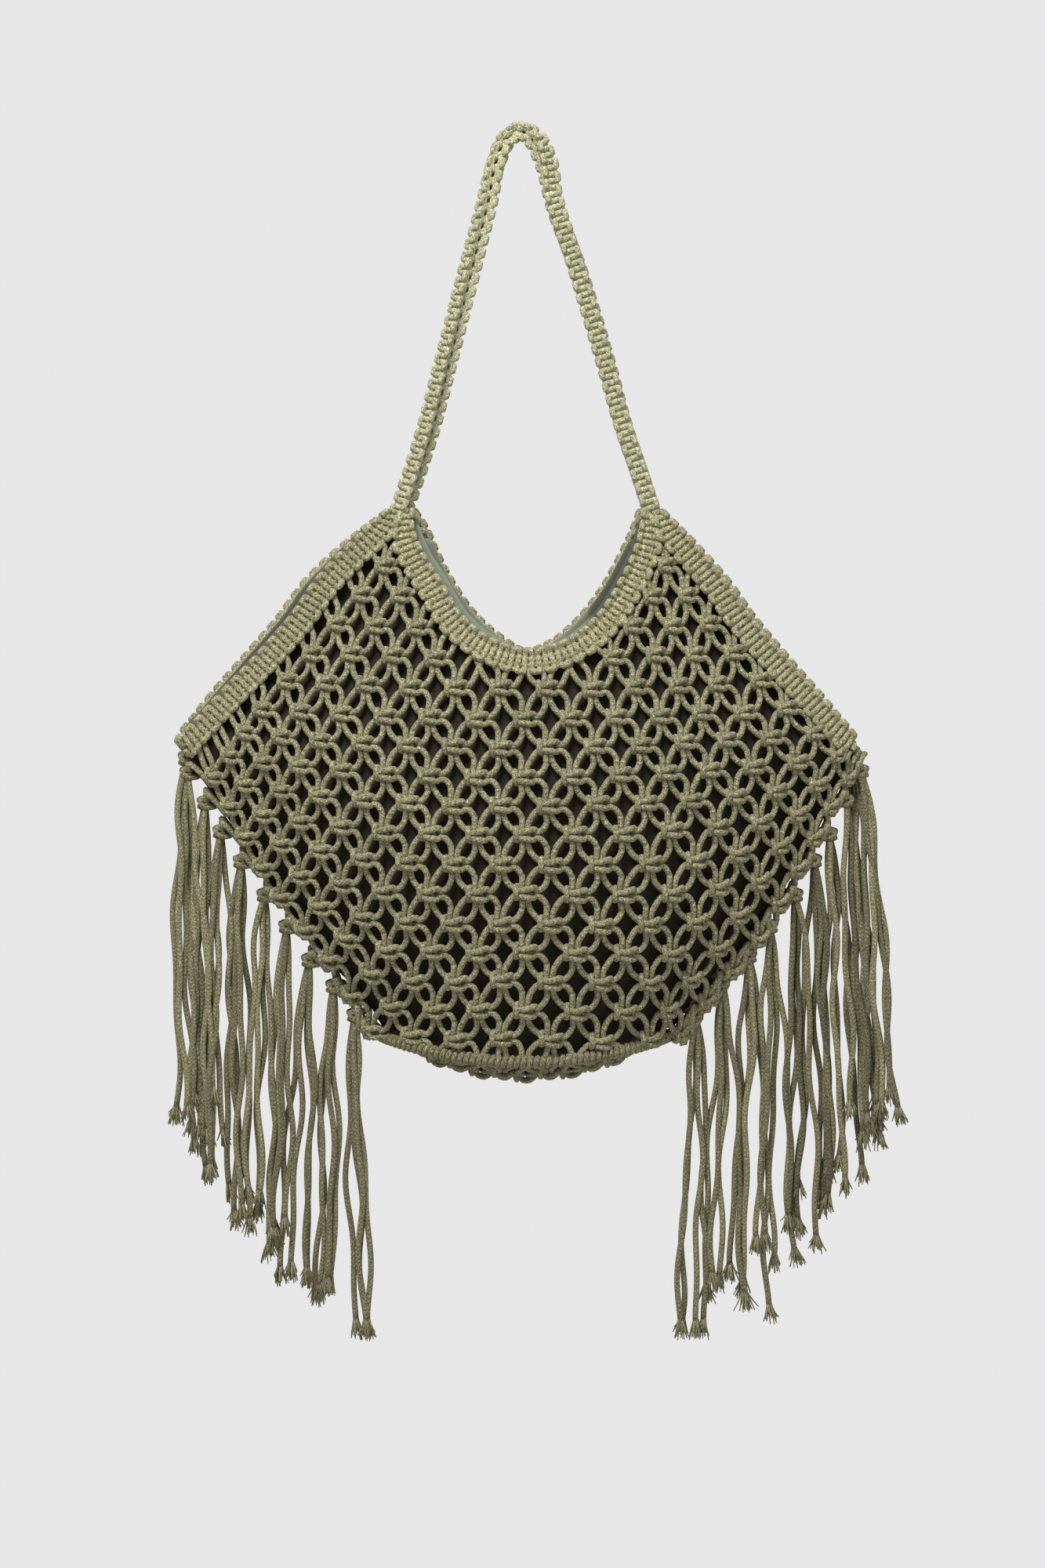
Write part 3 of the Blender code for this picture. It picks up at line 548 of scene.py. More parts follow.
# Each cord, its side, and its ways into the knot and out of it: from or to the
# near knot, half way to which its piece ends, far on under cover, or cut short at
# the seam. The next knots lie half the column pitch to the side.
STRANDS = (
    (
        FRONT_CORD,
        -1,
        {
            "near": [(-13.9, 12.45, 0), (-12.2, 8.05, 0), (-9.8, 4.85, 0)],
            "far": [(-25, 29, -2.4), (-20, 22, -1.8), (-15.5, 12.5, -0.5), (-10.5, 5.0, 0)],
        },
        {
            "near": [(-9.7, -5.2, 0), (-12.2, -9.0, 0), (-13.5, -12.45, 0)],
            "far": [(-9.7, -5.2, 0), (-12.8, -9.5, -0.5), (-15.0, -16.0, -3.5), (-17, -23, -4)],
            "cut": [(-9.0, -3.0, -0.2)],
        },
    ),
    (
        BEHIND_CORD,
        1,
        {
            "near": [(14.2, 12.45, 0), (14.3, 8.05, 0), (11.8, 3.45, 0)],
            "far": [(25, 29, -2.4), (20, 22, -1.8), (15.5, 12.5, -0.5), (11.4, 4.0, 0)],
        },
        {
            "near": [(10.9, -3.2, 0), (14.0, -7.6, 0), (14.1, -12.05, 0)],
            "far": [(10.9, -3.2, 0), (13.8, -8.5, -0.5), (15.0, -16.0, -3.5), (17, -23, -4)],
            "cut": [(9.0, -3.0, -0.2)],
        },
    ),
    (
        INNER_LEFT,
        -1,
        {
            "near": [(-4.9, 15.25, 0), (-1.8, 10.85, 0)],
            "far": [(-18, 31, -2.4), (-13, 24, -1.8), (-6.6, 15.0, -0.5), (-2.8, 10.8, 0)],
        },
        {
            "near": [(-1.5, -10.4, 0), (-4.0, -15.0, 0)],
            "far": [(-2.4, -11.0, 0), (-6.2, -17.0, -3), (-9, -24, -4)],
            "cut": [(-3.5, -7.5, 0)],
        },
    ),
    (
        INNER_RIGHT,
        1,
        {
            "near": [(6.1, 13.25, 0), (3.6, 9.45, 0)],
            "far": [(18, 31, -2.4), (13, 24, -1.8), (6.6, 15.0, -0.5), (3.4, 10.2, 0)],
        },
        {
            "near": [(3.6, -10.4, 0), (6.0, -13.6, 0)],
            "far": [(3.4, -12.0, 0), (6.2, -17.0, -3), (9, -24, -4)],
            "cut": [(3.5, -7.5, 0)],
        },
    ),
)


def through(points, steps=2):
    """Smooth curve through points a, b, c, d in turn: from b to c it is half of
    2b + (c-a)t + (2a-5b+4c-d)t2 + (3b-a-3c+d)t3. The outer points only steer."""
    a, b, c, d = (points[..., i : points.shape[-2] - 3 + i, None, :] for i in range(4))
    t = np.arange(steps)[:, None] / steps
    curve = 2 * b + (c - a) * t + (2 * a - 5 * b + 4 * c - d) * t**2 + (3 * b - a - 3 * c + d) * t**3
    curve = curve.reshape(*points.shape[:-2], -1, 3) / 2
    return np.concatenate([curve, points[..., -2:-1, :]], axis=-2)


def lattice(q, j):
    """Place in the front view of column q and row j. A column lies its step times q
    less a cube from the middle, times a share that draws it in up the peaks and at
    the foot. A row rises with the square of q, less the sag of the lower rows."""
    on_right = q > 0
    closing = np.where(on_right, RIGHT_CLOSING, LEFT_CLOSING)
    x = np.where(on_right, RIGHT_STEP, LEFT_STEP) * q - closing * q**3
    taper = 0.0205 * np.maximum(4 - j, 0)
    flare = 0.033 * np.clip(q - 4.7, 0, 2) * np.clip(2 - j / 2, 0, 1)
    peak = 0.01 * np.clip(4 - q, 0, 1) * np.clip(-j - 1, 0, 3)
    foot = 0.03 * np.clip(j - 8, 0, 3) * np.clip(q - 2.5, 0, 1)
    right = 1 - taper + flare + peak - foot
    left = 1 + 0.028 * np.minimum(j, 0) - 0.025 * np.clip(j - 7, 0, 2)
    rise = np.where(j >= 0, 0.175 + 0.052 * j, np.maximum(0.05, 0.175 + 0.02 * j))
    ends = np.where(on_right, 1 - 0.6 * np.clip(q - 5, 0, 1), 0.75 - 0.6 * np.clip(-q - 3.2, 0, 1))
    sag = 1.6 * np.clip(j - 3.3, 0, 4.2) * np.clip(np.abs(q) / 3, 0, 1) * ends
    z = NET_TOP - ROW_PITCH * j + rise * q * q + 0.95 * np.maximum(-j, 0) - sag
    return NET_MIDDLE + x * np.where(on_right, right, left), z


def in_net(q, j, u, v, w, side):
    """A place u across, v up and w out from a knot, on the panel. Nearer places
    are drawn in towards the middle of the view, as the eye 2.5 m away sees them."""
    x, z = lattice(q + u / COLUMN_PITCH, j - v / ROW_PITCH)
    draw = 1 - depth(x, z, side) / EYE_FAR
    x, z = EYE_X + (x - EYE_X) * draw, EYE_Z + (z - EYE_Z) * draw
    return on_panel(np.stack([x, z], axis=-1), side) + outward(x, z, side) * w[..., None]


RING_MIDDLE, RING_HALF_LENGTH, RING_HALF_DEPTH = 3.0, 91.0, 41.0
RING_LOW, RING_LIFT = -585.5, 14.0
NEAR_RING, NEAR_RING_LAST = -558.0, -550.0
ABOVE_RING, INTO_RING = 1.5, 6.0


def ring_height(x):
    """Height of the ring's middle line, whose two ends stand 14 mm higher, by the
    square of the share of the way."""
    return RING_LOW + RING_LIFT * np.clip(((x - RING_MIDDLE) / RING_HALF_LENGTH) ** 2, 0, 1)


def ring_line(angle):
    """Closed line of the ring: x goes with the cosine of the angle and y with
    the 1.35th power of its sine."""
    x = RING_MIDDLE + RING_HALF_LENGTH * np.cos(angle)
    y = RING_HALF_DEPTH * np.sign(np.sin(angle)) * np.abs(np.sin(angle)) ** 1.35
    return np.stack([x, y, ring_height(x)], axis=-1)


def to_ring(points, rows, side):
    """Ends of the lowest cords, brought to the ring round the base: the last two
    points move to just above and below the ring's line under the third last, and
    those before them stay above it."""
    share = np.clip((points[:, -3, 0] - RING_MIDDLE) / RING_HALF_LENGTH, -0.995, 0.995)
    foot = ring_line(side * np.arccos(share))
    low = points[:, -3, 2] < np.where(rows >= LAST_ROW - 1, NEAR_RING_LAST, NEAR_RING)
    points[low, -5:-2, 2] = np.maximum(points[low, -5:-2, 2], foot[low, None, 2] + ABOVE_RING)
    points[low, -2] = foot[low] + (0, 0, ABOVE_RING)
    points[low, -1] = foot[low] - (0, 0, INTO_RING)
    return points


def under_edge(points, side):
    """Hidden upper ends of the cords, the first two points of each, kept 9 mm
    under the shoulder's edge and the neckline."""
    neck, left, right = (edges[side][key] for key in (0, -1, 1))
    x = points[:, :2, 0]
    left_top = np.interp(x, left[::-1, 0], left[::-1, 1])
    top = np.where(x < RING_MIDDLE, left_top, np.interp(x, right[:, 0], right[:, 1]))
    dip = np.interp(x, neck[:, 0], neck[:, 1], left=0, right=0)
    points[:, :2, 2] = np.minimum(points[:, :2, 2], np.minimum(top, dip) - HIDDEN_UNDER)
    return points


def at_seam(q, j):
    """Whether a knot is the last of its row, whose outer cords go to the seam."""
    return (np.abs(q) == LAST_COLUMN - j / 2) & (j >= FIRST_SEAM_ROW)


def knot_centres(side):
    """Columns and rows of a face's knots: all that lie clear of the borders and
    inside the seams. The last knots of the rows, those by the right corner and
    those by the neckline's sides lie closer to the borders than the others."""
    rows = np.arange(FIRST_ROW, LAST_ROW + 1)
    columns = np.arange(-LAST_COLUMN, LAST_COLUMN + 1)
    j, q = np.meshgrid(rows, columns, indexing="ij")
    q = (q + 0.5 * (j % 2)).ravel()
    j = j.ravel()
    x, z = lattice(q, j)
    at = np.stack([x, z], axis=-1)
    neck = edges[side][0]
    from_edge = np.minimum(apart(at, edges[side][-1]), apart(at, edges[side][1]))
    last = at_seam(q, j)
    by_corner = (z < CORNER_TOP) & (x > 0)
    clear = from_edge > np.where(last, SEAM_CLEAR, np.where(by_corner, CORNER_CLEAR, EDGE_CLEAR))
    clear &= apart(at, neck) > np.where(z > NECK_SIDE_FOOT, NECK_SIDE_CLEAR, NECK_CLEAR)
    under = z < np.interp(x, neck[:, 0], neck[:, 1], left=0, right=0)
    within = np.abs(x - smooth(z, BODY_Z, MIDDLE)) < smooth(z, BODY_Z, HALF_WIDTH) + 4
    below = z < SHOULDER_TOP - PEAK_CLEAR
    keep = clear & under & (within | last) & below & (np.abs(q) <= LAST_COLUMN - j / 2)
    return q[keep], j[keep]


def knot_cords(q, j, place, cut_left, cut_right, near, seed, side=0):
    """The four cords of every knot. Each runs from the point half way to the knot
    above to the point half way to the one below; where no knot is there it runs
    on under cover, and at a seam it stops for the seam knot to take it up. The
    place function puts points on the net, and the side is 0 for the underside."""
    parts = []
    luck = np.random.default_rng(seed)
    shift = luck.normal(0, KNOT_SHIFT, (len(q), 1, 2))
    tone = luck.normal(1, 0.05, (len(q), 4))
    for number, (core, hand, ways_in, ways_out) in enumerate(STRANDS):
        cut = cut_left if hand < 0 else cut_right
        has_above = near(q + 0.5 * hand, j - 1)
        has_below = near(q + 0.5 * hand, j + 1)
        out = np.where(cut, "cut", np.where(has_below, "near", "far"))
        for way_in in ways_in:
            for way_out in ways_out:
                pick = (has_above == (way_in == "near")) & (out == way_out)
                if not pick.any():
                    continue
                shape = np.concatenate([ways_in[way_in], core, ways_out[way_out]])
                held = np.clip(1 - (np.hypot(shape[:, 0], shape[:, 1]) / KNOT_REACH) ** 4, 0, 1)
                u = shape[:, 0] + shift[pick, :, 0] * held
                v = shape[:, 1] + shift[pick, :, 1] * held
                w = np.broadcast_to(shape[:, 2], u.shape)
                points, facing = place(q[pick, None], j[pick, None], u, v, w)
                if way_in == "far" and side:
                    points = under_edge(points, side)
                if way_out == "far" and side:
                    points = to_ring(points, j[pick], side)
                lines = through(points)
                lines[:, [0, -1]] += 0.15 * (lines[:, [0, -1]] - lines[:, [1, -2]])
                parts.append(cords(lines, facing, tone=tone[pick, number]))
    return parts


# Knots that join front and back down each side seam, one at the end of every row
# from the fourth on: their places in the front view, top to bottom.
SEAM_KNOTS = {
    -1: [
        (-212.0, -403.5),
        (-201.0, -422.5),
        (-191.0, -441.0),
        (-178.0, -460.0),
        (-163.0, -481.5),
        (-149.0, -501.5),
        (-134.5, -523.0),
        (-119.0, -539.5),
        (-105.5, -558.0),
    ],
    1: [
        (217.0, -402.5),
        (208.0, -421.0),
        (197.0, -442.5),
        (187.0, -459.5),
        (175.0, -481.5),
        (159.0, -501.5),
        (145.5, -520.5),
        (128.5, -536.0),
        (111.5, -557.5),
    ],
}
SEAM_KNOT_SIZE = 0.72
# How the outer and the inner cord of a row's last knot go to the seam knot: three
# points from their own knot, across, up and out, then four into the seam knot,
# towards this face, up and outwards. The first and the last only steer.
SEAM_WAYS = (
    (
        [(6.887, -2.4, 0.2), (7.1, -2.5, 0.2), (9.0, -3.0, -0.2)],
        [(11.0, 7.5, -1.0), (8.6, 4.0, 0.0), (6.0, 2.0, 1.0), (4.0, 0.0, 1.0)],
    ),
    (
        [(1.843, -2.9, 0.0), (1.9, -3.0, 0.0), (3.5, -7.5, 0.0)],
        [(6.0, 10.5, -1.0), (3.0, 6.6, 0.0), (1.9, 3.0, 0.0), (1.9, 0.0, 0.0)],
    ),
)
# Painted shade: the nets' copy of the cotton is darker again, as the lower knots get less of the
# light from above; the cord is the same.
net_cotton = braided_cotton("sage_cotton_net_painted_shade", "#2a2715", "#7f7b5a", "#cac6a4")
for side, word in ((-1, "front"), (1, "back")):
    q, j = knot_centres(side)
    taken = set(zip(q.tolist(), j.tolist()))

    def near(column, row):
        """Whether a knot lies at each column and row."""
        return np.array([(a, b) in taken for a, b in zip(column.tolist(), row.tolist())], bool)

    def place(column, row, u, v, w):
        """Points on this face, and the way each cord's second point faces."""
        points = in_net(column, row, u, v, w, side)
        lifted = in_net(column, row, u, v, w + 1, side)
        return points, (lifted - points)[:, 1:2]

    last = at_seam(q, j)
    parts = knot_cords(q, j, place, last & (q < 0), last & (q > 0), near, 11 + side, side)
    for sign in (-1, 1):
        rows = np.arange(FIRST_SEAM_ROW, LAST_ROW + 1)
        columns = sign * (LAST_COLUMN - rows / 2)
        there = near(columns, rows)
        columns, rows = columns[there][:, None], rows[there][:, None]
        x, z = np.array(SEAM_KNOTS[sign])[there].T
        middle = np.stack([x, 0 * x, z], axis=1)[:, None]
        for leave, reach in SEAM_WAYS:
            leave = np.array(leave) * (sign, 1, 1)
            u, v, w = (np.broadcast_to(c, (len(rows), len(leave))) for c in leave.T)
            start = in_net(columns, rows, u, v, w, side)
            towards, up, out = (np.array(reach) * SEAM_KNOT_SIZE).T
            into = middle + np.stack([sign * (out - 1), side * towards, up], axis=1)
            lines = through(np.concatenate([start, into], axis=1), 3)
            parts.append(cords(lines, np.array([sign * 0.7, side * 0.7, 0.1])))
    add_piece(f"{word}_knotted_net", parts, net_cotton, [f"{word}_net"])

# Lining: a plain woven cotton pouch, sewn from two panels and tacked inside the
# net. It shows pale grey above the borders; below that its colour is painted
# dark, as painted shade under the net's cords.
LINING_SPAN = (-213.0, 212.0)
LINING_COLUMNS, LINING_ROWS, FOOT_ROWS = 150, 44, 5
# How far the binding stands above the neckline at each x, on either face.
PROUD_AT = [-40.0, -14.0, 0.0, 12.0, 36.0]
LINING_PROUD = {-1: [3.0, 1.5, -2.0, -1.0, 1.2], 1: [-3.5] * 5}
LEFT_STAND_AT, LEFT_STAND = [-102.0, -86.0], [0.7, -4.5]
LINING_TOP = {-1: -241.0, 1: -254.0}
LINING_INSET = 3.9
LINING_EXTRA = 2.6
LINING_THICKNESS = 1.0
RIPPLE = 0.35
LEAST_DEPTH = 0.75
SEAM_ALLOWANCE = 4.5
DEEPENS_OVER, EASES_FROM, EASES_OVER = 22.0, 217.0, 40.0
HALF_SHADE = 11.5
OVER_RING = 6.8
FOOT_SAG = 9.5
UNSEEN = 200.0


def rim_height(x, side):
    """Height of the pouch's rim at each x: the lower of shoulder and neckline,
    kept under the peak, and the binding's stand above it."""
    neck, left, right = (edges[side][key] for key in (0, -1, 1))
    shoulder = np.where(
        x < 0,
        np.interp(x, left[::-1, 0], left[::-1, 1]),
        np.interp(x, right[:, 0], right[:, 1]),
    )
    slope = np.gradient(shoulder, x)
    stand = np.interp(x, LEFT_STAND_AT, LEFT_STAND) if side < 0 else LEFT_STAND[-1]
    shoulder = shoulder + stand * np.sqrt(1 + slope**2)
    dip = np.interp(x, neck[:, 0], neck[:, 1], left=0, right=0)
    fall = np.gradient(dip, x)
    proud = np.interp(x, PROUD_AT, LINING_PROUD[side])
    dip = dip + proud * np.sqrt(1 + np.minimum(fall**2, 6))
    inner = (x > neck[:, 0].min()) & (x < neck[:, 0].max())
    return np.minimum(np.minimum(shoulder, LINING_TOP[side]), np.where(inner, dip, 0))


def foot_height(x):
    """Height of the pouch's foot: the seam down to the ring, then the ring."""
    z = np.linspace(CORNER, -575, 90)
    middle, half = smooth(z, BODY_Z, MIDDLE), smooth(z, BODY_Z, HALF_WIDTH) - SEAM_ALLOWANCE
    left = np.interp(x, middle - half, z)
    right = np.interp(-x, -(middle + half), z)
    return np.maximum(ring_height(x) + OVER_RING, np.where(x < 0, left, right))


across = np.linspace(*LINING_SPAN, LINING_COLUMNS)
layers = []
for side in (-1, 1):
    top, foot = rim_height(across, side), foot_height(across)
    share = np.linspace(0, 1, LINING_ROWS)[:, None] ** 1.15
    z = top + (np.minimum(foot, top - 0.5) - top) * share
    x = np.broadcast_to(across, z.shape)
    below = np.clip((top - z) / DEEPENS_OVER, 0, 1)
    below = below * np.clip((EASES_FROM - np.abs(x)) / EASES_OVER, 0, 1)
    inset = LINING_INSET + LINING_EXTRA * below
    slope_x = depth(x + 0.5, z, side) - depth(x - 0.5, z, side)
    slope_z = depth(x, z + 0.5, side) - depth(x, z - 0.5, side)
    deep = depth(x, z, side) - inset * np.sqrt(1 + slope_x**2 + slope_z**2)
    deep = deep + RIPPLE * np.sin(x / 9 + np.sin(z / 31)) * below
    deep = np.maximum(deep, LEAST_DEPTH)
    # Beside the neckline the rim is painted half dark, as painted shade between the borders: it
    # counts as that far down.
    shaded = np.where(x < -68, HALF_SHADE, (HALF_SHADE + 0.1) * np.clip((x - 20) / 25, 0, 1))
    layers.append((np.stack([x, side * deep, z], axis=-1), np.maximum(top - z, shaded)))
front, back = layers[0][0], layers[1][0][::-1]
share = np.linspace(0, 1, FOOT_ROWS + 2)[1:-1, None, None]
under = front[-1] * (1 - share) + back[0] * share
open_share = np.clip((back[0, :, 1] - front[-1, :, 1]) / 60, 0, 1)
under[..., 2] -= FOOT_SAG * (1 - (2 * share[..., 0] - 1) ** 2) * open_share
sheet = np.concatenate([front, under, back])
# Painted shade: how far each point lies below the rim, by which the cloth's colour darkens; the
# hidden foot counts as far down.
painted_shade_from_rim = np.concatenate([layers[0][1], np.full(under.shape[:2], UNSEEN), layers[1][1][::-1]])
rows, columns = sheet.shape[:2]
at = np.arange(rows * columns).reshape(rows, columns)
mesh = bpy.data.meshes.new("lining_pouch")
quads = np.stack([at[:-1, :-1], at[1:, :-1], at[1:, 1:], at[:-1, 1:]], axis=-1).reshape(-1, 4)
mesh.from_pydata((sheet.reshape(-1, 3) * 0.001).tolist(), [], quads.tolist())
mesh.polygons.foreach_set("use_smooth", np.ones(len(quads), bool))
mesh.attributes.new("painted_shade_from_rim", "FLOAT", "POINT").data.foreach_set("value", painted_shade_from_rim.ravel())
cloth_map = mesh.uv_layers.new(name="cloth")
loops = np.empty(len(mesh.loops), np.int32)
mesh.loops.foreach_get("vertex_index", loops)
down = run_of(np.moveaxis(sheet, 0, 1)).T
on_cloth = np.stack([sheet[..., 0], down], axis=-1).reshape(-1, 2)
cloth_map.data.foreach_set("uv", on_cloth[loops].ravel())
lining = bpy.data.objects.new("lining_pouch", mesh)
bpy.context.scene.collection.objects.link(lining)
wall = lining.modifiers.new("cloth", "SOLIDIFY")
wall.thickness = LINING_THICKNESS * 0.001
wall.offset = 0.0

# Plain weave: threads 0.45 mm apart go over and under each other, about three
# times as coarse as real ones so that they show, with slubs 4.5 mm long; matt.
THREAD_TURN = 7.0
SLUBS_PER_METRE = 220.0
# The ramp goes over 20 mm from the rim: two greys near it, then the dark of the painted shade below.
LINING_GREYS_AND_PAINTED_SHADE = [(0.0, "#7c8273"), (0.52, "#767c6d"), (0.62, "#34332a"), (1.0, "#302e24")]
woven = bpy.data.materials.new("plain_woven_cotton")
woven.use_nodes = True
tree = woven.node_tree
shader = tree.nodes["Principled BSDF"]
cloth = node(tree, "UVMap", uv_map="cloth")
warp = node(tree, "SeparateXYZ", cloth, out="X")
warp = node(tree, "Math", warp, THREAD_TURN, operation="MULTIPLY")
weft = node(tree, "SeparateXYZ", cloth, out="Y")
weft = node(tree, "Math", weft, THREAD_TURN, operation="MULTIPLY")
warp = node(tree, "Math", warp, operation="SINE")
weft = node(tree, "Math", weft, operation="SINE")
weave = node(tree, "Math", warp, weft, operation="MULTIPLY")
# Painted shade: the cloth's colour darkens with distance below the rim, and beside the neckline.
rim = node(tree, "Attribute", out="Fac", attribute_name="painted_shade_from_rim")
rim = node(tree, "Math", rim, 0.05, operation="MULTIPLY")
shades = node(tree, "ValToRGB", rim, stops=LINING_GREYS_AND_PAINTED_SHADE)
place = node(tree, "TexCoord", out="Object")
slub = node(tree, "TexNoise", place, named={"Scale": SLUBS_PER_METRE})
slub = node(tree, "Math", slub, 0.3, 0.85, operation="MULTIPLY_ADD")
grey = node(tree, "Math", weave, 0.06, slub, operation="MULTIPLY_ADD")
blend = {"data_type": "RGBA", "blend_type": "MULTIPLY"}
colour = node(tree, "Mix", 1.0, named={6: shades, 7: grey}, out=2, **blend)
tree.links.new(colour, shader.inputs["Base Color"])
bump = node(tree, "Bump", named={"Strength": 0.3, "Distance": 0.0002, "Height": weave})
tree.links.new(bump, shader.inputs["Normal"])
shader.inputs["Roughness"].default_value = 0.95
shader.inputs["Specular IOR Level"].default_value = 0.2
mesh.materials.append(woven)
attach(lining, "root")
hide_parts("front_lining", "back_lining")

# Ring round the base: the cord is wound tightly round a hidden core, about a
# hundred turns that lie side by side.
RING_TURNS = 107
STEPS_PER_TURN = 13
WINDING_RADIUS, WOUND_CORD_RADIUS, RING_CORE_RADIUS = 2.4, 1.98, 2.2
UP = np.array([0.0, 0.0, 1.0])
angle = np.linspace(0, 2 * math.pi, 1201)
core = ring_line(angle)
far = run_of(core)
turn = np.linspace(0, RING_TURNS, RING_TURNS * STEPS_PER_TURN + 1)
place_on = np.interp(turn / RING_TURNS * far[-1], far, angle)
ahead = unit(ring_line(place_on + 0.01) - ring_line(place_on - 0.01))
outside = unit(np.cross(ahead, UP))
upward = np.cross(outside, ahead)
spin = (turn * 2 * math.pi)[:, None]
radial = np.cos(spin) * outside + np.sin(spin) * upward
wound = ring_line(place_on) + WINDING_RADIUS * radial
# Painted shade: the ring's and the underside's copy of the cotton is the darkest, for the shade low
# down on the bag; the cord is the same.
ring_cotton = braided_cotton("sage_cotton_low_painted_shade", "#28230f", "#736d4e", "#b0aa88")
parts = [
    cords(wound[None], radial[None], WOUND_CORD_RADIUS, 8),
    cords(core[None, ::10], UP, RING_CORE_RADIUS, 8),
]
add_piece("wound_ring", parts, ring_cotton, ["base_ring"])

# Underside: the same net, sagging inside the ring. Its cord ends come up beside
# the ring all round and stop short of it.
BASE_COLUMN, BASE_ROW = 29.0, 17.5
BASE_HALF_LENGTH, BASE_HALF_DEPTH = 84.0, 35.0
j, q = np.meshgrid(np.arange(-1, 2), np.arange(-3, 4), indexing="ij")
q = (q + 0.5 * (j % 2)).ravel()
j = j.ravel()
keep = np.hypot(q / 2.7, j / 1.9) < 0.93
q, j = q[keep], j[keep]
base_taken = set(zip(q.tolist(), j.tolist()))


def near_base(column, row):
    """Whether a knot of the underside lies at each column and row."""
    return np.array([(a, b) in base_taken for a, b in zip(column.tolist(), row.tolist())], bool)


def under_ring(column, row, u, v, w):
    """Places on the sagging underside, whose depth falls off with the square of
    the distance from its middle. The flat places are drawn inside an oval, being
    divided by the sixth root of one plus the sixth power of their share of the
    way to it; w goes down, less so by the oval."""
    x = RING_MIDDLE + BASE_COLUMN * (column + u / COLUMN_PITCH)
    y = BASE_ROW * (row - v / ROW_PITCH)
    reach = np.hypot((x - RING_MIDDLE) / BASE_HALF_LENGTH, y / BASE_HALF_DEPTH)
    pull = (1 + np.maximum(reach, 1e-6) ** 6) ** (-1 / 6)
    x, y = RING_MIDDLE + (x - RING_MIDDLE) * pull, y * pull
    share = ((x - RING_MIDDLE) / BASE_HALF_LENGTH) ** 2 + (y / BASE_HALF_DEPTH) ** 2
    share = np.clip(share, 0, 1)
    z = ring_height(x) - FOOT_SAG * (1 - share) - 1 - w * (1 - 0.6 * share)
    return np.stack([x, y, z], axis=-1), -UP


no_cut = np.zeros(len(q), bool)
parts = knot_cords(q, j, under_ring, no_cut, no_cut, near_base, 5)
add_piece("knotted_underside", parts, ring_cotton, ["base_net"])

# Fringe: at the corner and down each side a square knot ties two front and two
# back cords at every row, and the four cords hang on as fringe, ten locks a side.
# Their cut ends are combed out into short tufts.
CORNER_KNOTS = {-1: (-212.5, -394.0), 1: (212.0, -393.0)}
# Each lock from the corner down: its length, its tip's drift towards the middle
# and its width.
FRINGE = {
    -1: [
        (214.0, 8.0, 9.0),
        (208.0, 9.0, 12.0),
        (212.0, 6.0, 9.0),
        (214.0, 3.0, 10.0),
        (214.0, 0.0, 10.0),
        (208.0, -2.0, 10.5),
        (204.0, -4.0, 10.5),
        (206.0, -6.0, 10.5),
        (200.0, -3.0, 9.5),
        (214.0, 9.0, 9.0),
    ],
    1: [
        (222.0, -14.0, 12.0),
        (222.0, -10.0, 14.0),
        (214.0, -10.0, 10.0),
        (214.0, -7.0, 10.0),
        (220.0, -2.0, 10.0),
        (212.0, 0.0, 10.5),
        (206.0, 3.0, 10.5),
        (206.0, 5.0, 10.5),
        (196.0, 3.0, 9.5),
        (214.0, 3.0, 9.0),
    ],
}
LOCK_CORDS = 4
LOWEST_TIP = -752.0
CORNER_KNOT_SIZE, SIDE_KNOT_SIZE = 1.0, 0.85
TUFT_LENGTH = 6.0
HAIRS = 32
HAIR_THICKNESS = np.array([0.5, 0.5, 0.45, 0.3])
# Painted shade: the fringe's copy of the cotton is darker than the net's, for the light that falls
# from above; the cord is the same.
fringe_cotton = braided_cotton("sage_cotton_fringe_painted_shade", "#2a2614", "#75704f", "#b5af8d")
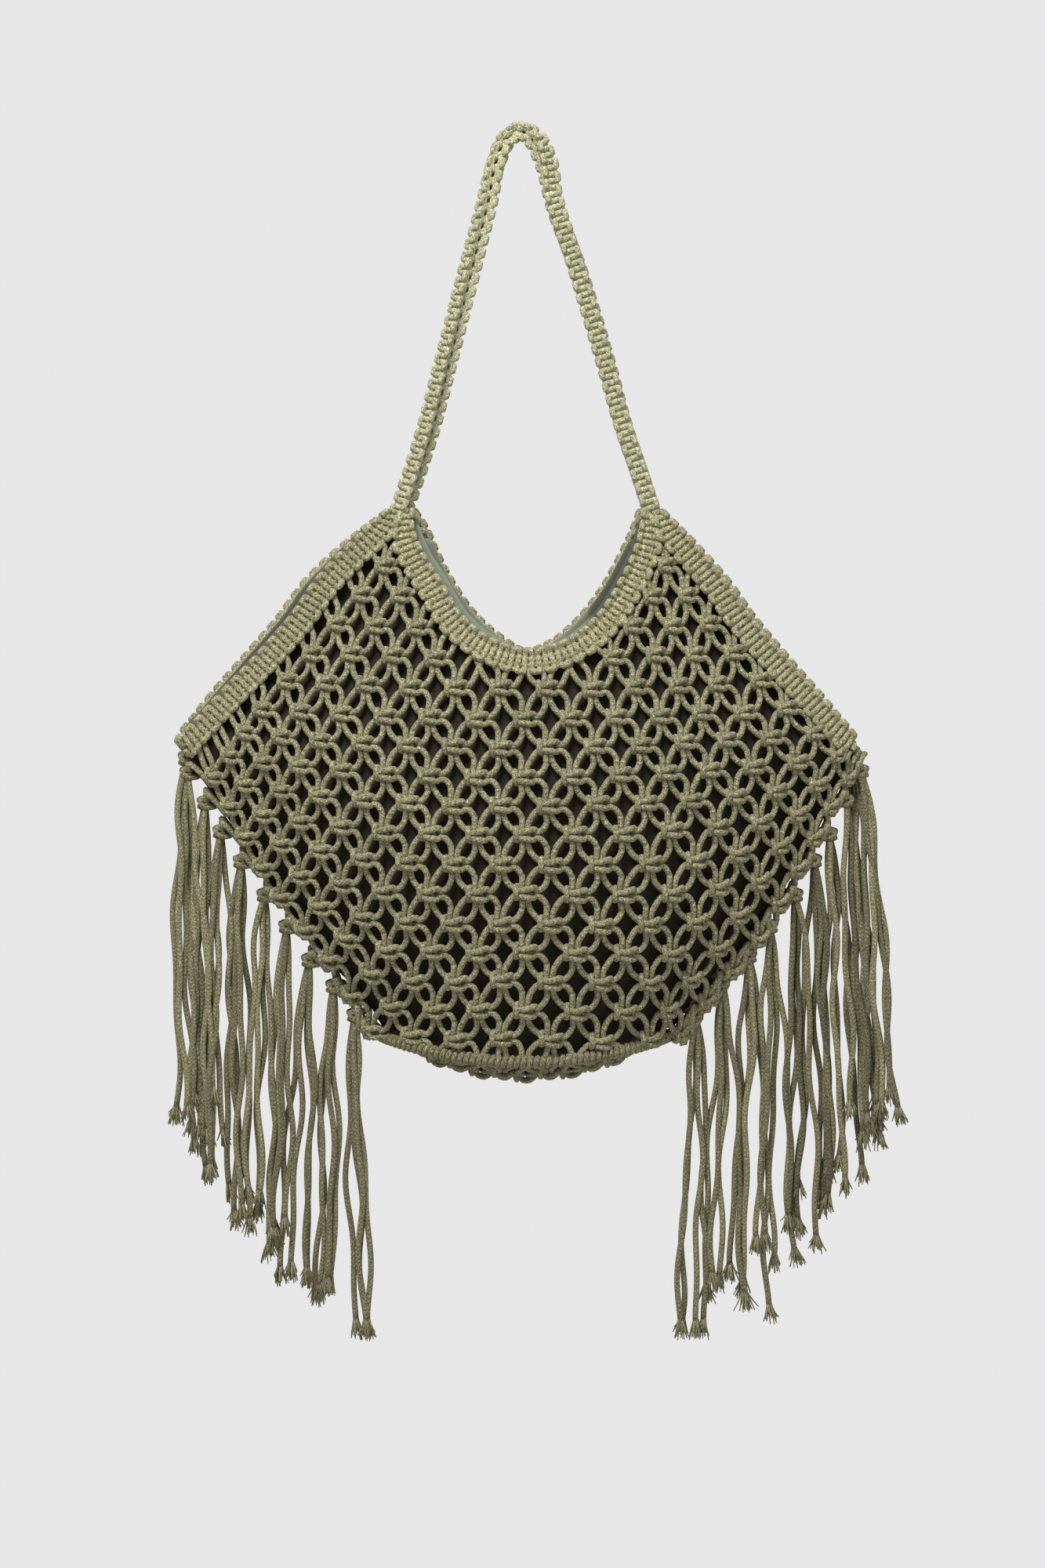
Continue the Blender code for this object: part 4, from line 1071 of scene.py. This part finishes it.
for sign, word in ((-1, "left"), (1, "right")):
    balls = np.array([CORNER_KNOTS[sign]] + SEAM_KNOTS[sign])
    locks = len(balls)
    middle = np.stack([balls[:, 0], 0 * balls[:, 0], balls[:, 1]], axis=1)[:, None]
    size = np.where(np.arange(locks) == 0, CORNER_KNOT_SIZE, SIDE_KNOT_SIZE)
    size = size[:, None, None] * (1.6, 0.9, 1.0)
    parts = []
    for core in (FRONT_CORD, BEHIND_CORD):
        turned = np.stack([sign * (core[:, 2] - 1.4), core[:, 0], core[:, 1]], axis=1)
        turned = np.concatenate([turned[:1] * 0.98, turned, turned[-1:] * 1.02])
        parts.append(cords(through(turned * size + middle), np.array([sign, 0.0, 0.0])))
    # Each strand falls from its knot with two slow waves either way, spreads to
    # its place in the lock, and strays a little from it.
    down, drift, wide = np.array(FRINGE[sign]).T[..., None]
    strand = np.arange(LOCK_CORDS)[None] - 1.5
    luck = np.random.default_rng(31 + sign)
    long = down + luck.normal(0, 8.0, (locks, LOCK_CORDS)) - TUFT_LENGTH
    long = np.minimum(long, balls[:, 1:] - LOWEST_TIP)
    t = np.linspace(0, 1, 40)
    far = t * long[..., None]
    settle = 1 - np.exp(-far / 16)
    order = luck.permuted(np.tile(strand, (locks, 1)), axis=1)[..., None]
    phase = luck.uniform(0, 6.28, (4, locks, LOCK_CORDS, 1))
    waves = 1.5 * np.sin(far / 21 + phase[0]) + 1.1 * np.sin(far / 11.5 + phase[1])
    sway = 1.6 * np.sin(far / 25 + phase[2]) + 0.9 * np.sin(far / 13 + phase[3])
    grow = np.clip(far / 45, 0, 1)
    stray = luck.normal(0, 4.0, (locks, LOCK_CORDS, 1)) * t
    fan = (1 - np.exp(-far / 26)) * (0.8 + 0.2 * t)
    x = balls[:, 0, None, None] + sign * 2.0 * settle + order * wide[..., None] / 2.3 * fan
    x = x + (waves + stray) * grow - sign * drift[..., None] * t**1.2
    y = strand[..., None] * 1.6 * (1 + 0.8 * settle) + sway * grow
    z = balls[:, 1, None, None] - 1.0 - far
    lines = np.stack([x, y, z], axis=-1).reshape(locks * LOCK_CORDS, -1, 3)
    # Painted shade: the strands' tone averages 0.9, which darkens the fringe overall; its spread
    # from strand to strand is random tone.
    tone = luck.normal(0.9, 0.17, len(lines))
    parts.append(cords(lines, FRONTWARD, CORD_RADIUS, 7, tone))
    # Each tuft is a bundle of thin tapered hairs that part a little and bend.
    run = unit(lines[:, -1] - lines[:, -4])
    spread = luck.normal(0, 1, (len(lines), HAIRS, 3)) * (0.15, 0.15, 0.05)
    away = unit(run[:, None] + spread)
    root = lines[:, -1:] + unit(spread) * (1, 1, 0) * 1.1 - run[:, None] * 2
    reach = luck.uniform(7, 14, (len(lines), HAIRS, 1, 1))
    step = np.linspace(0, 1, 4)[:, None]
    bend = luck.normal(0, 1.0, (len(lines), HAIRS, 1, 3)) * step**2
    tuft = (root[:, :, None] + away[:, :, None] * reach * step + bend).reshape(-1, 4, 3)
    bright = luck.choice([0.9, 1.2, 1.6], len(tuft))
    parts.append(cords(tuft, FRONTWARD, HAIR_THICKNESS, 4, bright))
    add_piece(f"{word}_fringe", parts, fringe_cotton, [f"fringe_{word}"])

# Studio: a plain pale floor well below the bag, an even pale surround, and one
# large soft light above and in front, so that the upper knots are the brightest,
# with a weak one from the right.
PALE = "#e7e7e7"
FLOOR = [(-1.4, -1.6, -1.3), (1.4, -1.6, -1.3), (1.4, 1.4, -1.3), (-1.4, 1.4, -1.3)]
SURROUND = 0.37
AIM = Vector((0.0, 0.0, -0.33))
LAMPS = (
    ("key", (-0.5, -1.3, 1.3), 0.8, 55.0),
    ("fill", (1.7, -1.5, 0.2), 1.3, 8.0),
)
floor_mesh = bpy.data.meshes.new("floor")
floor_mesh.from_pydata(FLOOR, [], [(0, 1, 2, 3)])
floor = bpy.data.objects.new("floor", floor_mesh)
bpy.context.scene.collection.objects.link(floor)
paper = bpy.data.materials.new("pale_paper")
paper.use_nodes = True
shader = paper.node_tree.nodes["Principled BSDF"]
shader.inputs["Base Color"].default_value = linear(PALE)
shader.inputs["Roughness"].default_value = 0.9
floor_mesh.materials.append(paper)

world = bpy.data.worlds.new("studio")
world.use_nodes = True
bpy.context.scene.world = world
tree = world.node_tree
soft = tree.nodes["Background"]
soft.inputs[0].default_value = (1, 1, 1, 1)
soft.inputs[1].default_value = SURROUND
seen = node(tree, "Background", linear(PALE), 1.0)
camera_ray = node(tree, "LightPath", out="Is Camera Ray")
both = node(tree, "MixShader", camera_ray, soft.outputs[0], seen)
tree.links.new(both, tree.nodes["World Output"].inputs[0])
for name, spot, size, power in LAMPS:
    lamp = bpy.data.lights.new(name, "AREA")
    lamp.size, lamp.energy = size, power
    light = bpy.data.objects.new(name, lamp)
    bpy.context.scene.collection.objects.link(light)
    light.location = spot
    light.rotation_euler = (AIM - light.location).to_track_quat("-Z", "Y").to_euler()
bpy.context.scene.view_settings.view_transform = "Standard"

# Camera: level, square to the front and 2.5 m away, as in the photograph, with a
# long lens and no shift.
camera = bpy.data.objects.new("camera", bpy.data.cameras.new("camera"))
bpy.context.scene.collection.objects.link(camera)
camera.location = (EYE_X * 0.001, -EYE_FAR * 0.001, EYE_Z * 0.001)
camera.rotation_euler = (math.pi / 2, 0, 0)
camera.data.lens = 90.0
bpy.context.scene.camera = camera
